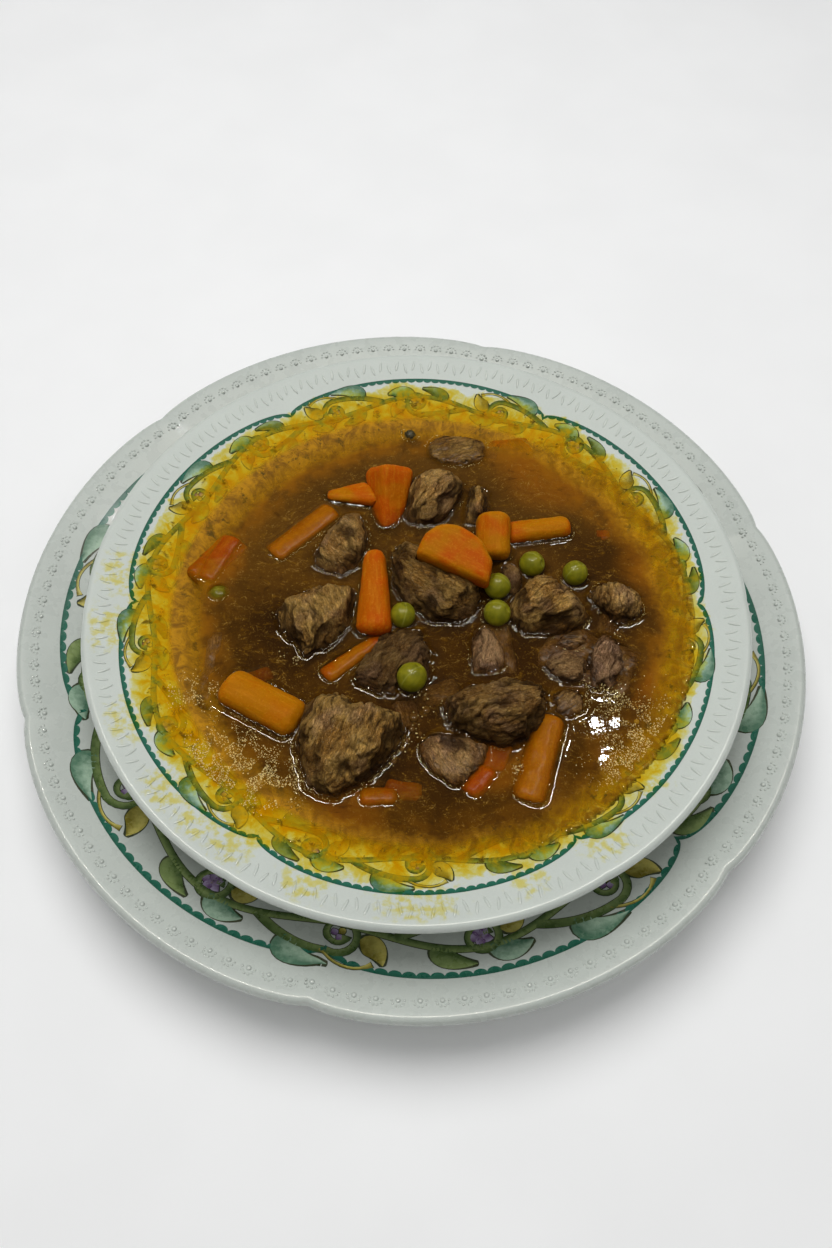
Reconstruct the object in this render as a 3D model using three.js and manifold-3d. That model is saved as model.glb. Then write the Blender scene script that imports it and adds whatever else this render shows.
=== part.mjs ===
// Beef stew in a lobed soup plate, which stands on its matching underplate.
// Millimetres, +Z up. The origin is under the middle of the underplate's foot, on the table.
// The front of the dish is towards -Y. Every piece of food that breaks the surface is a solid
// of its own, and the gravy is one solid up to its level, cut round the pieces.
import * as THREE from "three";
import { mergeVertices } from "three/addons/utils/BufferGeometryUtils.js";
import { ImprovedNoise } from "three/addons/math/ImprovedNoise.js";
import Module from "manifold-3d";

// Driving dimensions
const GAP = 0.3; // clearance left between pieces that touch
const GROWTH = 0.5; // how far a neighbour's corners are moved out, so that its faces clear by GAP
const LOBES = 6; // bows of a plate's rim

const UNDERPLATE = {
  r: 135,
  rimZ: 25.4,
  lip: 2.1, // radius of the rounded edge
  floorZ: 7,
  wall: 4,
  foot: 78, // middle radius of the foot ring
  facets: 72,
  lobeDepth: 0.023, // share of the radius that the rim's nicks go in
  lobeTurn: 17.3, // bearing of a nick
};
const SOUP_PLATE = {
  r: 110.4,
  rimZ: 42,
  lip: 1.9,
  floorZ: 13,
  wall: 4,
  foot: 47,
  facets: 60,
  lobeDepth: 0.006,
  lobeTurn: 0,
};
const SOUP_CENTRE = new THREE.Vector3(2, -2.6, 0);
const SOUP_FOOT_Z = UNDERPLATE.floorZ + GAP;
const LEVEL = 38; // height of the gravy's surface
const WELL_R = 78; // where the soup plate's well meets its sloping border
const BORDER_Z = 34.2; // height of the border at the well's edge

const COLOURS = {
  china: 0xd9dcd6,
  gravy: 0x6a4712,
  beef: 0x86694a,
  carrot: 0xd8701c,
  pea: 0x8f9c2c,
  pepper: 0x1f2418,
};

const wasm = await Module();
wasm.setup();
const noise = new ImprovedNoise();
const degrees = THREE.MathUtils.degToRad;

function material(colour, roughness) {
  return new THREE.MeshStandardMaterial({ color: colour, roughness, metalness: 0 });
}

const FINISH = {
  china: material(COLOURS.china, 0.15),
  gravy: material(COLOURS.gravy, 0.1),
  beef: material(COLOURS.beef, 0.55),
  carrot: material(COLOURS.carrot, 0.3),
  pea: material(COLOURS.pea, 0.3),
  pepper: material(COLOURS.pepper, 0.5),
};

// Solids

// A geometry whose shared corners are one vertex each.
function weld(geometry) {
  const loose = geometry.clone();
  loose.deleteAttribute("normal");
  loose.deleteAttribute("uv");
  return mergeVertices(loose, 1e-4);
}

// A mesh as a solid in the dish's frame, its corners moved out by grow.
function solidOf(mesh, grow = 0) {
  mesh.updateMatrixWorld(true);
  const geometry = weld(mesh.geometry).applyMatrix4(mesh.matrixWorld);
  const position = geometry.attributes.position;
  if (grow > 0) {
    geometry.computeVertexNormals();
    const normal = geometry.attributes.normal;
    const corner = new THREE.Vector3();
    const out = new THREE.Vector3();
    for (let i = 0; i < position.count; i++) {
      out.fromBufferAttribute(normal, i);
      corner.fromBufferAttribute(position, i).addScaledVector(out, grow);
      position.setXYZ(i, corner.x, corner.y, corner.z);
    }
  }
  const triVerts = new Uint32Array(geometry.index.array);
  return new wasm.Manifold(new wasm.Mesh({ numProp: 3, vertProperties: position.array, triVerts }));
}

// The largest body of a solid, as a geometry.
function geometryOf(solid) {
  const bodies = solid.decompose().sort((a, b) => b.volume() - a.volume());
  const mesh = bodies[0].getMesh();
  const geometry = new THREE.BufferGeometry();
  geometry.setAttribute("position", new THREE.BufferAttribute(mesh.vertProperties, 3));
  geometry.setIndex(new THREE.BufferAttribute(mesh.triVerts, 1));
  return geometry;
}

// A mesh with its neighbours' room taken out of it.
function makeRoom(mesh, neighbours) {
  const whole = solidOf(mesh);
  let solid = whole;
  for (const other of neighbours) {
    solid = solid.subtract(solidOf(other, GROWTH));
  }
  if (solid.volume() > whole.volume() - 1e-6) {
    return mesh;
  }
  return named(mesh.name, geometryOf(solid), mesh.material);
}

function named(name, geometry, finish) {
  const mesh = new THREE.Mesh(geometry, finish);
  mesh.name = name;
  return mesh;
}

// Plates

// How far out the rim is at an angle, as a share of its radius: broad bows that meet in nicks.
function lobeShare(angle, plate) {
  const nick = 0.26; // width of a nick
  const flatness = 0.23; // the lower, the flatter the bows
  const swing = Math.sin((LOBES / 2) * (angle - degrees(plate.lobeTurn)));
  const bow = (Math.hypot(swing, nick) - nick) / (Math.hypot(1, nick) - nick);
  return 1 - plate.lobeDepth * (1 - Math.pow(bow, flatness));
}

// The rounded lip of a plate, from its underside over the edge to its top.
function lip(plate) {
  const points = [];
  const radius = plate.lip;
  const steps = 4;
  for (let step = 0; step <= steps; step++) {
    const angle = degrees(-100 + (200 * step) / steps);
    const r = plate.r - radius + radius * Math.cos(angle);
    points.push([r, plate.rimZ - radius + radius * Math.sin(angle)]);
  }
  return points;
}

// A closed shell turned about +Z from [radius, height] pairs, which start and end on the axis.
function turned(profile, facets, turn = 0) {
  const points = profile.map(([r, z]) => new THREE.Vector2(r, z));
  const geometry = new THREE.LatheGeometry(points, facets, degrees(90 + turn));
  return geometry.rotateX(Math.PI / 2);
}

// The rim's bows fade out towards the middle of the plate.
function bowed(geometry, plate, fadeFrom) {
  const position = geometry.attributes.position;
  for (let i = 0; i < position.count; i++) {
    const x = position.getX(i);
    const y = position.getY(i);
    const share = lobeShare(Math.atan2(y, x), plate);
    const fade = THREE.MathUtils.smoothstep(Math.hypot(x, y), fadeFrom, plate.r);
    const scale = 1 + (share - 1) * fade;
    position.setXY(i, x * scale, y * scale);
  }
  return geometry;
}

function underplate() {
  const { foot, wall, floorZ, rimZ, r, facets, lobeTurn } = UNDERPLATE;
  const profile = [
    [0, floorZ - wall],
    [foot - 3, floorZ - wall],
    [foot - 1.5, 0],
    [foot + 2, 0],
    [foot + 5, floorZ - wall],
    [foot + 20, floorZ + 1.5],
    [r - 6, rimZ - 5],
    ...lip(UNDERPLATE),
    [r - 9, rimZ - 2],
    [foot + 21, floorZ + 6],
    [foot + 12, floorZ + 1.8],
    [foot + 3, floorZ],
    [0, floorZ],
  ];
  const geometry = turned(profile, facets, lobeTurn);
  return named("underplate", bowed(geometry, UNDERPLATE, foot + 12), FINISH.china);
}

// Inner surface of the soup plate from its border down to its floor.
const WELL_PROFILE = [
  [WELL_R + 4, BORDER_Z + 1.1],
  [WELL_R, BORDER_Z - 0.7],
  [WELL_R - 3, BORDER_Z - 5],
  [WELL_R - 8, BORDER_Z - 14],
  [WELL_R - 15, SOUP_PLATE.floorZ + 1.5],
  [WELL_R - 24, SOUP_PLATE.floorZ],
];

function soupPlate() {
  const { foot, wall, floorZ, rimZ, r, facets, lobeTurn } = SOUP_PLATE;
  const profile = [
    [0, floorZ - wall],
    [foot - 3, floorZ - wall],
    [foot - 1.5, SOUP_FOOT_Z],
    [foot + 1.5, SOUP_FOOT_Z],
    [foot + 5, floorZ - wall],
    [WELL_R - 12, floorZ - 1.8],
    [WELL_R - 3.5, BORDER_Z - 13],
    [WELL_R + 4, BORDER_Z - 3],
    [r - 5, rimZ - 4.8],
    ...lip(SOUP_PLATE),
    [r - 5, rimZ - 0.8],
    ...WELL_PROFILE,
    [0, floorZ],
  ];
  const geometry = turned(profile, facets, lobeTurn);
  const mesh = named("soup_plate", bowed(geometry, SOUP_PLATE, WELL_R + 8), FINISH.china);
  mesh.position.copy(SOUP_CENTRE);
  return mesh;
}

// Height of the border's top at a radius, and the radius that the gravy reaches on it.
const BORDER_SLOPE = (SOUP_PLATE.rimZ - 0.8 - BORDER_Z - 1.1) / (SOUP_PLATE.r - 5 - WELL_R - 4);
const GRAVY_R = WELL_R + 4 + (LEVEL - GAP - BORDER_Z - 1.1) / BORDER_SLOPE;

// The room that a piece takes up in the gravy: an upright prism round all of it that is under the
// surface, with its sides square to the piece's longer way.
function roomInGravy(mesh) {
  const sides = 12;
  mesh.updateMatrixWorld(true);
  const geometry = weld(mesh.geometry).applyMatrix4(mesh.matrixWorld);
  const position = geometry.attributes.position;
  const index = geometry.index;
  const sunk = [];
  for (let i = 0; i < index.count; i++) {
    const next = i % 3 === 2 ? i - 2 : i + 1;
    const a = new THREE.Vector3().fromBufferAttribute(position, index.getX(i));
    const b = new THREE.Vector3().fromBufferAttribute(position, index.getX(next));
    if (a.z < LEVEL) {
      sunk.push(a);
    }
    if ((a.z - LEVEL) * (b.z - LEVEL) < 0) {
      sunk.push(a.clone().lerp(b, (LEVEL - a.z) / (b.z - a.z)));
    }
  }
  if (sunk.length === 0) {
    return null;
  }
  const mean = (value) => sunk.reduce((sum, point) => sum + value(point), 0) / sunk.length;
  const midX = mean((point) => point.x);
  const midY = mean((point) => point.y);
  const alongX = mean((point) => (point.x - midX) ** 2);
  const alongY = mean((point) => (point.y - midY) ** 2);
  const across = mean((point) => (point.x - midX) * (point.y - midY));
  const bearing = Math.atan2(2 * across, alongX - alongY) / 2;
  const step = (2 * Math.PI) / sides;
  const reach = (i) => {
    const x = Math.cos(bearing + i * step);
    const y = Math.sin(bearing + i * step);
    return Math.max(...sunk.map((point) => point.x * x + point.y * y)) + GAP;
  };
  const corners = [];
  for (let i = 0; i < sides; i++) {
    const here = reach(i);
    const turn = (reach(i + 1) - here * Math.cos(step)) / Math.sin(step);
    const x = Math.cos(bearing + i * step);
    const y = Math.sin(bearing + i * step);
    corners.push(new THREE.Vector2(here * x - turn * y, here * y + turn * x));
  }
  const bottom = Math.min(...sunk.map((point) => point.z)) - GAP;
  const depth = LEVEL + 1 - bottom;
  const prism = new THREE.ExtrudeGeometry(new THREE.Shape(corners), { depth, bevelEnabled: false });
  return solidOf(named(mesh.name, prism.translate(0, 0, bottom), mesh.material));
}

function gravy(pieces) {
  const bed = WELL_PROFILE.map(([r, z]) => [r, z + GAP]).reverse();
  const profile = [[0, SOUP_PLATE.floorZ + GAP], ...bed, [GRAVY_R, LEVEL], [0, LEVEL]];
  const pool = named("gravy", turned(profile, SOUP_PLATE.facets), FINISH.gravy);
  pool.position.copy(SOUP_CENTRE);
  let solid = solidOf(pool);
  for (const room of pieces.map(roomInGravy).filter(Boolean)) {
    solid = solid.subtract(room);
  }
  return named("gravy", geometryOf(solid), FINISH.gravy);
}

// Beef

// One side of a chunk: a wall through a stretch of its plan at a height, leaning in going up.
function wallPlane([ax, ay], [bx, by], height, lean, middle) {
  const length = Math.hypot(bx - ax, by - ay);
  const out = new THREE.Vector3((by - ay) / length, (ax - bx) / length, Math.tan(lean)).normalize();
  const corner = new THREE.Vector3(ax, ay, height);
  return { out, reach: out.dot(corner.sub(middle)) };
}

// A torn chunk of stewed beef. plan: its corners at the gravy's level, counter-clockwise.
// rise and sink: how far it reaches above and below that level. tip: the top's fall, as the
// bearing that it falls towards and the slope in degrees. torn: how deep its crags are.
function chunk({ name, plan, rise, sink = 12, tip = [270, 8], torn = 0.07, seed, detail = 2 }) {
  const leanAbove = degrees(22);
  const leanBelow = degrees(-24);
  const waist = 2.5; // how far under the gravy's surface the chunk is widest
  const crispness = 11;
  const swell = 1.05; // makes up for what the rounded corners take off
  const cragScale = 2.3;
  const lumpScale = 4.7;

  const middle = new THREE.Vector3(0, 0, LEVEL + (rise - sink) / 2);
  for (const [x, y] of plan) {
    middle.x += x / plan.length;
    middle.y += y / plan.length;
  }
  const planes = [];
  plan.forEach((corner, i) => {
    const next = plan[(i + 1) % plan.length];
    planes.push(wallPlane(corner, next, LEVEL, leanAbove, middle));
    planes.push(wallPlane(corner, next, LEVEL - waist, leanBelow, middle));
  });
  const fall = degrees(tip[1]);
  const bearing = degrees(tip[0]);
  const top = new THREE.Vector3(Math.cos(bearing), Math.sin(bearing), 1 / Math.tan(fall)).normalize();
  planes.push({ out: top, reach: (rise + sink) / 2 });
  planes.push({ out: new THREE.Vector3(0, 0, -1), reach: (rise + sink) / 2 });

  const geometry = weld(new THREE.IcosahedronGeometry(1, detail));
  const position = geometry.attributes.position;
  const ray = new THREE.Vector3();
  for (let i = 0; i < position.count; i++) {
    ray.fromBufferAttribute(position, i).normalize();
    let sum = 0;
    for (const { out, reach } of planes) {
      sum += Math.pow(Math.max(0, ray.dot(out) / reach), crispness);
    }
    const far = ray.clone().multiplyScalar(cragScale);
    const near = ray.clone().multiplyScalar(lumpScale);
    const crag = 0.4 - 2 * Math.abs(noise.noise(far.x + seed, far.y, far.z));
    const lump = noise.noise(near.x, near.y + seed, near.z);
    const distance = Math.pow(sum, -1 / crispness) * (swell + torn * (crag + lump));
    position.setXYZ(i, ray.x * distance, ray.y * distance, ray.z * distance);
  }
  const mesh = named(name, geometry, FINISH.beef);
  mesh.position.copy(middle);
  return mesh;
}

const BEEF = [
  { plan: [[-35, -43], [-34, -61], [-31, -69], [-25, -72.5], [-13, -67], [-7, -60], [1, -47], [-29, -37]],
    rise: 10, sink: 14, tip: [255, 10], torn: 0.08, detail: 3 },
  { plan: [[9, -41], [14.5, -50.5], [28, -55.5], [35, -54.5], [43.5, -43], [42, -34], [36, -32], [14, -36]],
    rise: 10, sink: 13, tip: [100, 4], torn: 0.1, detail: 3 },
  { plan: [[-7, 20], [-6, 2], [4, -9], [12, -11], [20, -8.5], [24, -2], [24, 10], [6, 18], [-3, 26]],
    rise: 8, sink: 14, tip: [270, 6], torn: 0.08, detail: 3 },
  { plan: [[-3, 34], [0, 29], [11, 30], [19.5, 43], [19, 49], [7, 52], [0, 50]],
    rise: 8.5, sink: 13, tip: [240, 10], torn: 0.06 },
  { plan: [[-48, -1], [-43, -13], [-33, -25.5], [-28, -21.5], [-19.5, -10], [-17.5, 8], [-26, 8], [-36, 1]],
    rise: 7.5, sink: 14, tip: [240, 10], torn: 0.08, detail: 3 },
  { plan: [[-33.5, 15.5], [-32, 10], [-24, 8], [-17, 13], [-14.5, 27], [-16.5, 33], [-23, 33.5], [-29, 26]],
    rise: 5.5, sink: 13, tip: [240, 8], torn: 0.08 },
  { plan: [[33, -1], [33, -11.5], [40, -14.5], [52, -14], [60, -7.5], [50, 5], [44, 8.5]],
    rise: 9, sink: 13, tip: [250, 10], torn: 0.06, detail: 3 },
  { plan: [[60, 1], [62, -5], [68, -10], [75, -9], [78, -3], [74, 3], [65, 5]],
    rise: 5.5, sink: 7, tip: [270, 8], torn: 0.1 },
  { plan: [[30.5, 13], [31, 6.5], [33.5, -0.5], [36.5, 2.5], [38, 7], [35.5, 12]],
    rise: 4.5, sink: 10, tip: [300, 15] },
  { plan: [[18.5, -31], [18.5, -19], [20, -10.5], [25, -9.5], [29.5, -15], [32, -24.5], [29, -31]],
    rise: 1.6, sink: 12, tip: [270, 3], torn: 0.04 },
  { plan: [[44, -24], [44, -28], [50, -33], [55, -31.5], [57, -26], [55, -22], [48, -21]],
    rise: 2.6, sink: 10, tip: [270, 6], torn: 0.05 },
  { plan: [[57.8, -22], [57.5, -33], [60, -36], [65, -32], [68.5, -25], [67.5, -16], [61.5, -16]],
    rise: 2.4, sink: 9, tip: [250, 4] },
  { plan: [[-8, -14], [-21, -30], [-14, -37.5], [-3, -36], [4, -35], [6, -24], [5, -16], [0, -12.5]],
    rise: 3, sink: 12, tip: [260, 4] },
  { plan: [[3, -52], [3, -60], [9, -65.5], [15.5, -69.5], [25, -55.5], [22, -51], [10, -50]],
    rise: 1.5, sink: 11, tip: [270, 3], torn: 0.05 },
  { plan: [[19.5, 30], [22, 28.5], [27.5, 36], [26, 45.5], [20, 46]],
    rise: 5.5, sink: 12, tip: [200, 10] },
  { plan: [[4, 64], [6, 58], [14, 56], [25, 57.5], [29, 63.5], [23.5, 70], [10.5, 70]],
    rise: 1, sink: 9, tip: [270, 2], torn: 0.05 },
  { plan: [[45, -36], [46.5, -44], [54, -43], [54.5, -37.5], [52, -35]],
    rise: 0.9, sink: 9, tip: [270, 2], torn: 0.05 },
  { plan: [[46.5, -18], [52, -20.5], [58, -18], [56, -12], [52, -12.5]],
    rise: 0.9, sink: 7, tip: [270, 2], torn: 0.05 },
];

// Carrot

// Cross-sections, each about its middle: a bar with one rounded side, a quarter and a half of a
// round slice, and a round bar.
function barSection(width, height) {
  const shape = new THREE.Shape();
  const w = width / 2;
  const h = height / 2;
  shape.moveTo(-w, -h * 0.7);
  shape.lineTo(w, -h * 0.8);
  shape.lineTo(w * 0.95, h * 0.35);
  shape.quadraticCurveTo(w * 0.2, h * 1.25, -w * 0.75, h * 0.75);
  shape.lineTo(-w, h * 0.3);
  return shape;
}

function quarterSection(width, height) {
  const shape = new THREE.Shape();
  shape.moveTo(-width * 0.5, 0);
  shape.quadraticCurveTo(-width * 0.42, -height * 0.5, 0, -height * 0.5);
  shape.quadraticCurveTo(width * 0.42, -height * 0.5, width * 0.5, 0);
  shape.lineTo(0, height * 0.5);
  return shape;
}

function halfSection(width, height) {
  const shape = new THREE.Shape();
  shape.moveTo(-width * 0.5, -height * 0.5);
  shape.lineTo(width * 0.5, -height * 0.5);
  shape.bezierCurveTo(width * 0.54, height * 0.1, width * 0.2, height * 0.5, -width * 0.1, height * 0.5);
  shape.bezierCurveTo(-width * 0.3, height * 0.5, -width * 0.48, height * 0.3, -width * 0.5, 0);
  return shape;
}

// A cut piece of carrot. from and to: the middles of its two ends. taper: the size of its to end
// as a share of its from end. roll: turn about its length, in degrees.
function carrot({ name, section, width, height, from, to, taper = 1, roll = 0, bevel = 1.2 }) {
  const start = new THREE.Vector3(...from);
  const end = new THREE.Vector3(...to);
  const length = start.distanceTo(end);
  const geometry = new THREE.ExtrudeGeometry(section(width, height), {
    depth: length - 2 * bevel,
    steps: 2,
    curveSegments: 3,
    bevelThickness: bevel,
    bevelSize: bevel,
    bevelOffset: -bevel,
    bevelSegments: 1,
  });
  geometry.translate(0, 0, bevel - length / 2);
  const position = geometry.attributes.position;
  for (let i = 0; i < position.count; i++) {
    const along = position.getZ(i) / length + 0.5;
    const scale = 1 + (taper - 1) * along;
    position.setXY(i, position.getX(i) * scale, position.getY(i) * scale);
  }
  const forward = end.clone().sub(start).normalize();
  const side = new THREE.Vector3().crossVectors(new THREE.Vector3(0, 0, 1), forward).normalize();
  const up = new THREE.Vector3().crossVectors(forward, side);
  const mesh = named(name, geometry, FINISH.carrot);
  mesh.setRotationFromMatrix(new THREE.Matrix4().makeBasis(side, up, forward));
  mesh.rotateZ(degrees(roll));
  mesh.position.copy(start).add(end).multiplyScalar(0.5);
  return mesh;
}

// In the order in which one makes room for another: a piece gives way to those before it.
const CARROTS = [
  // the wedge that stands in the gravy at the back, and the slice behind it
  { section: quarterSection, width: 18, height: 15, roll: 12,
    from: [-8, 50, LEVEL + 6], to: [-8.8, 28.5, LEVEL - 4.5], taper: 0.5 },
  { section: barSection, width: 12, height: 6, roll: 10,
    from: [-11, 42.5, LEVEL + 1.8], to: [-30, 41.7, LEVEL + 0.9], taper: 0.35 },
  // the half slice on top of the beef, the block beside it and the stick behind that
  { section: halfSection, width: 26, height: 15, roll: -17,
    from: [16.6, 12.6, LEVEL + 5], to: [16.3, 10.4, LEVEL + 14] },
  { section: barSection, width: 11.5, height: 12, roll: 0,
    from: [27.6, 14.5, LEVEL + 1.5], to: [28.3, 29.5, LEVEL + 6] },
  { section: barSection, width: 8.8, height: 8.6, roll: 0,
    from: [31, 25.4, LEVEL], to: [55, 28.8, LEVEL + 0.7], taper: 0.9 },
  // the long stick beside the middle
  { section: barSection, width: 12, height: 11, roll: -12, bevel: 2,
    from: [-12.3, -15, LEVEL + 0.5], to: [-12.6, 15, LEVEL + 5], taper: 0.55 },
  // the sticks on the left, low in the gravy
  { section: barSection, width: 10, height: 8, roll: 0,
    from: [-48, 17, LEVEL - 3], to: [-27.5, 37, LEVEL - 2.5], taper: 0.95 },
  { section: barSection, width: 9, height: 7, roll: 0,
    from: [-70.5, 6.5, LEVEL - 2.6], to: [-62, 25, LEVEL - 2.6] },
  { section: barSection, width: 13, height: 11, roll: 0, bevel: 2,
    from: [-59, -33.3, LEVEL - 0.5], to: [-34.7, -46.6, LEVEL - 0.3] },
  { section: barSection, width: 7.5, height: 7, roll: 0,
    from: [-28, -30.5, LEVEL - 2.2], to: [-8, -14, LEVEL - 1.8], taper: 0.7 },
  // the pieces at the front
  { section: barSection, width: 11, height: 9, roll: 0,
    from: [35.3, -72.5, LEVEL - 2.9], to: [44.3, -43.5, LEVEL - 2.6], taper: 0.9 },
  { section: barSection, width: 8.5, height: 8, roll: 0,
    from: [17.5, -70.5, LEVEL - 3.4], to: [24.5, -61, LEVEL - 3.1], taper: 0.9 },
  { section: barSection, width: 7, height: 6, roll: 0,
    from: [-15.5, -71, LEVEL - 2.4], to: [-3.5, -70.7, LEVEL - 2.4], taper: 0.9 },
];

// Peas and pepper

function ball(name, [x, y, height, radius], finish) {
  const mesh = named(name, new THREE.IcosahedronGeometry(radius, 1), finish);
  mesh.position.set(x, y, LEVEL + height);
  return mesh;
}

// Each ball's place, the height of its middle over the gravy's level and its radius.
const PEAS = [
  [-3, -8.5, 2, 4.4],
  [0.4, -32.1, 3, 5],
  [28.7, 2.4, 3, 4.6],
  [28.4, -7.8, 2.5, 4.6],
  [41, 12, 2, 4.5],
  [55.3, 8.1, 2.5, 4.4],
  [-64.8, 1.5, -3.6, 4.4],
];
const PEPPERCORN = [-0.7, 70.4, -0.5, 2.3];

// The dish

const numbered = (kind, i) => kind + "_" + String(i + 1).padStart(2, "0");

const plate = soupPlate();
const food = [];

function place(mesh) {
  const fitted = makeRoom(mesh, [plate, ...food]);
  food.push(fitted);
}

CARROTS.forEach((piece, i) => place(carrot({ name: numbered("carrot", i), ...piece })));
PEAS.forEach((spot, i) => place(ball(numbered("pea", i), spot, FINISH.pea)));
place(ball("peppercorn", PEPPERCORN, FINISH.pepper));
BEEF.forEach((piece, i) => place(chunk({ name: numbered("beef", i), seed: 3.1 * i, ...piece })));

const stew = new THREE.Group();
stew.add(underplate(), plate, gravy(food), ...food);

export default stew;
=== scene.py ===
"""Beef stew in a lobed soup plate on its underplate: the finish of every piece, stage and camera.

Metres, +Z up, the origin on the table under the underplate's middle, the diner at -Y.
"""

import math
import random
from types import SimpleNamespace

import bmesh
import bpy
from mathutils import Matrix, Vector, noise
from mathutils.bvhtree import BVHTree


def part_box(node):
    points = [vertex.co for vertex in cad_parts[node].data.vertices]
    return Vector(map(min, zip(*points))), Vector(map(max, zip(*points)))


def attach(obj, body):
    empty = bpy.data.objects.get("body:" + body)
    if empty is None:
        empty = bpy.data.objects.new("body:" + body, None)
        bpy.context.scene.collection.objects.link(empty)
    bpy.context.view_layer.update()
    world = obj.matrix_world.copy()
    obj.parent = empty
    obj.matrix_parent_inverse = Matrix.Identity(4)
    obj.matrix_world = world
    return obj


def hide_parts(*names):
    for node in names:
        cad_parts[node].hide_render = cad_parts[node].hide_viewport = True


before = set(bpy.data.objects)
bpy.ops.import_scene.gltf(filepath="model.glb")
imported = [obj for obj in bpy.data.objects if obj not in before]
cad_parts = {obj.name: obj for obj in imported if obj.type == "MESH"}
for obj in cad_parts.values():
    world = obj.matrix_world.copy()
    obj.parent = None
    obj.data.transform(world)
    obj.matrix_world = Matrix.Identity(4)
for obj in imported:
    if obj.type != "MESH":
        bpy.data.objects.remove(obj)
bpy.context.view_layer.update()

MM = 0.001
SEED = 7
NODES = sorted(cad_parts)
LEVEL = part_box("gravy")[1].z / MM  # the gravy's surface, as all lengths below in millimetres
random.seed(SEED)
noise.seed_set(SEED)

bpy.context.scene.view_settings.view_transform = "Standard"


# ---------------------------------------------------------------- camera

CAMERA_PLACE = Vector((0, -193.1, 344.5))
LOOKS_AT = Vector((0, 0, 24))
CAMERA_TURNS = (-0.004673, -0.005468, -0.004842)  # yaw, pitch and roll off that line, radians
FOCAL_SHARE = 1079.8 / 1248  # focal length as a share of the picture's long side


def make_camera():
    data = bpy.data.cameras.new("camera")
    camera = bpy.data.objects.new("camera", data)
    bpy.context.scene.collection.objects.link(camera)
    data.sensor_width = 36
    data.lens = FOCAL_SHARE * data.sensor_width
    data.clip_start = 0.01
    ahead = (LOOKS_AT - CAMERA_PLACE).normalized()
    right = Vector((1, 0, 0))
    up = right.cross(ahead)
    yaw, pitch, roll = CAMERA_TURNS
    turn = Matrix.Rotation(yaw, 3, up) @ Matrix.Rotation(pitch, 3, right) @ Matrix.Rotation(roll, 3, ahead)
    axes = Matrix((turn @ right, turn @ up, -(turn @ ahead))).transposed()
    camera.matrix_world = Matrix.Translation(CAMERA_PLACE * MM) @ axes.to_4x4()
    bpy.context.scene.camera = camera


# ---------------------------------------------------------------- hands on a mesh

MERGE_REACH = 1e-6  # metres


def only(piece):
    """Selects one piece alone and makes it the active one."""
    bpy.ops.object.select_all(action="DESELECT")
    piece.select_set(True)
    bpy.context.view_layer.objects.active = piece


def merge(piece):
    """Joins the vertices of a piece that lie on one spot."""
    only(piece)
    bpy.ops.object.mode_set(mode="EDIT")
    bpy.ops.mesh.select_all(action="SELECT")
    bpy.ops.mesh.remove_doubles(threshold=MERGE_REACH)
    bpy.ops.object.mode_set(mode="OBJECT")


def modify(piece, kind, **settings):
    """Adds a modifier and applies it."""
    only(piece)
    modifier = piece.modifiers.new(kind, kind)
    for name, value in settings.items():
        setattr(modifier, name, value)
    bpy.ops.object.modifier_apply(modifier=modifier.name)


def regrid(piece, spacing, rounds):
    """Gives a piece an even mesh and softens its edges."""
    modify(piece, "REMESH", mode="VOXEL", voxel_size=spacing * MM, use_smooth_shade=True)
    modify(piece, "SMOOTH", factor=0.5, iterations=rounds)


def smooth(piece):
    only(piece)
    bpy.ops.object.shade_smooth()


def primitive(add, name, **settings):
    """Adds a primitive at its size and place, with its origin at zero."""
    bpy.ops.object.select_all(action="DESELECT")
    add(**settings)
    piece = bpy.context.object
    piece.name = name
    bpy.ops.object.transform_apply(location=True)
    return piece


def rework(piece, work):
    """Lets work change a piece's mesh and writes it back."""
    shape = bmesh.new()
    shape.from_mesh(piece.data)
    work(shape)
    shape.to_mesh(piece.data)
    shape.free()


def move_all(piece, new_place):
    """Moves every vertex to its new place. All places are reckoned before the first one moves."""
    spots = [new_place(vertex) for vertex in piece.data.vertices]
    for vertex, spot in zip(piece.data.vertices, spots):
        vertex.co = spot


def body_from(name, verts, faces):
    mesh = bpy.data.meshes.new(name)
    mesh.from_pydata(verts, [], faces)
    piece = bpy.data.objects.new(name, mesh)
    bpy.context.scene.collection.objects.link(piece)
    return piece


def copy_of(node, name):
    """A merged copy of a CAD node, as a new piece."""
    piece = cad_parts[node].copy()
    piece.data = piece.data.copy()
    piece.parent = None
    for key in list(piece.keys()):
        del piece[key]
    piece.name = name
    piece.data.name = name
    piece.data.materials.clear()
    bpy.context.scene.collection.objects.link(piece)
    merge(piece)
    return piece


def attribute(piece, name, values, kind="FLOAT"):
    """Writes one value for each vertex of a piece."""
    layer = piece.data.attributes.new(name, kind, "POINT")
    if kind == "FLOAT":
        layer.data.foreach_set("value", values)
    else:
        layer.data.foreach_set("vector", [number for vector in values for number in vector])


def even(piece, **values):
    """Writes attributes that are the same all over a piece."""
    for name, value in values.items():
        attribute(piece, name, [value] * len(piece.data.vertices))


def repeated(name, motif, places):
    """Copies of a motif at each place, joined in one piece. The motif itself goes."""
    spots = [vertex.co.copy() for vertex in motif.data.vertices]
    sides = [list(face.vertices) for face in motif.data.polygons]
    verts = []
    faces = []
    for place in places:
        first = len(verts)
        verts += [place @ spot for spot in spots]
        faces += [[first + corner for corner in side] for side in sides]
    bpy.data.objects.remove(motif)
    piece = body_from(name, verts, faces)
    smooth(piece)
    return piece


def keep(piece, slot, material, *nodes):
    """Gives a finished piece its material and its place in the dish. The slot is not used."""
    piece.data.materials.clear()
    piece.data.materials.append(material)
    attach(piece, "root")
    if nodes:
        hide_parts(*nodes)


def smoothstep(value, low, high):
    share = min(1.0, max(0.0, (value - low) / (high - low)))
    return share * share * (3 - 2 * share)


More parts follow.
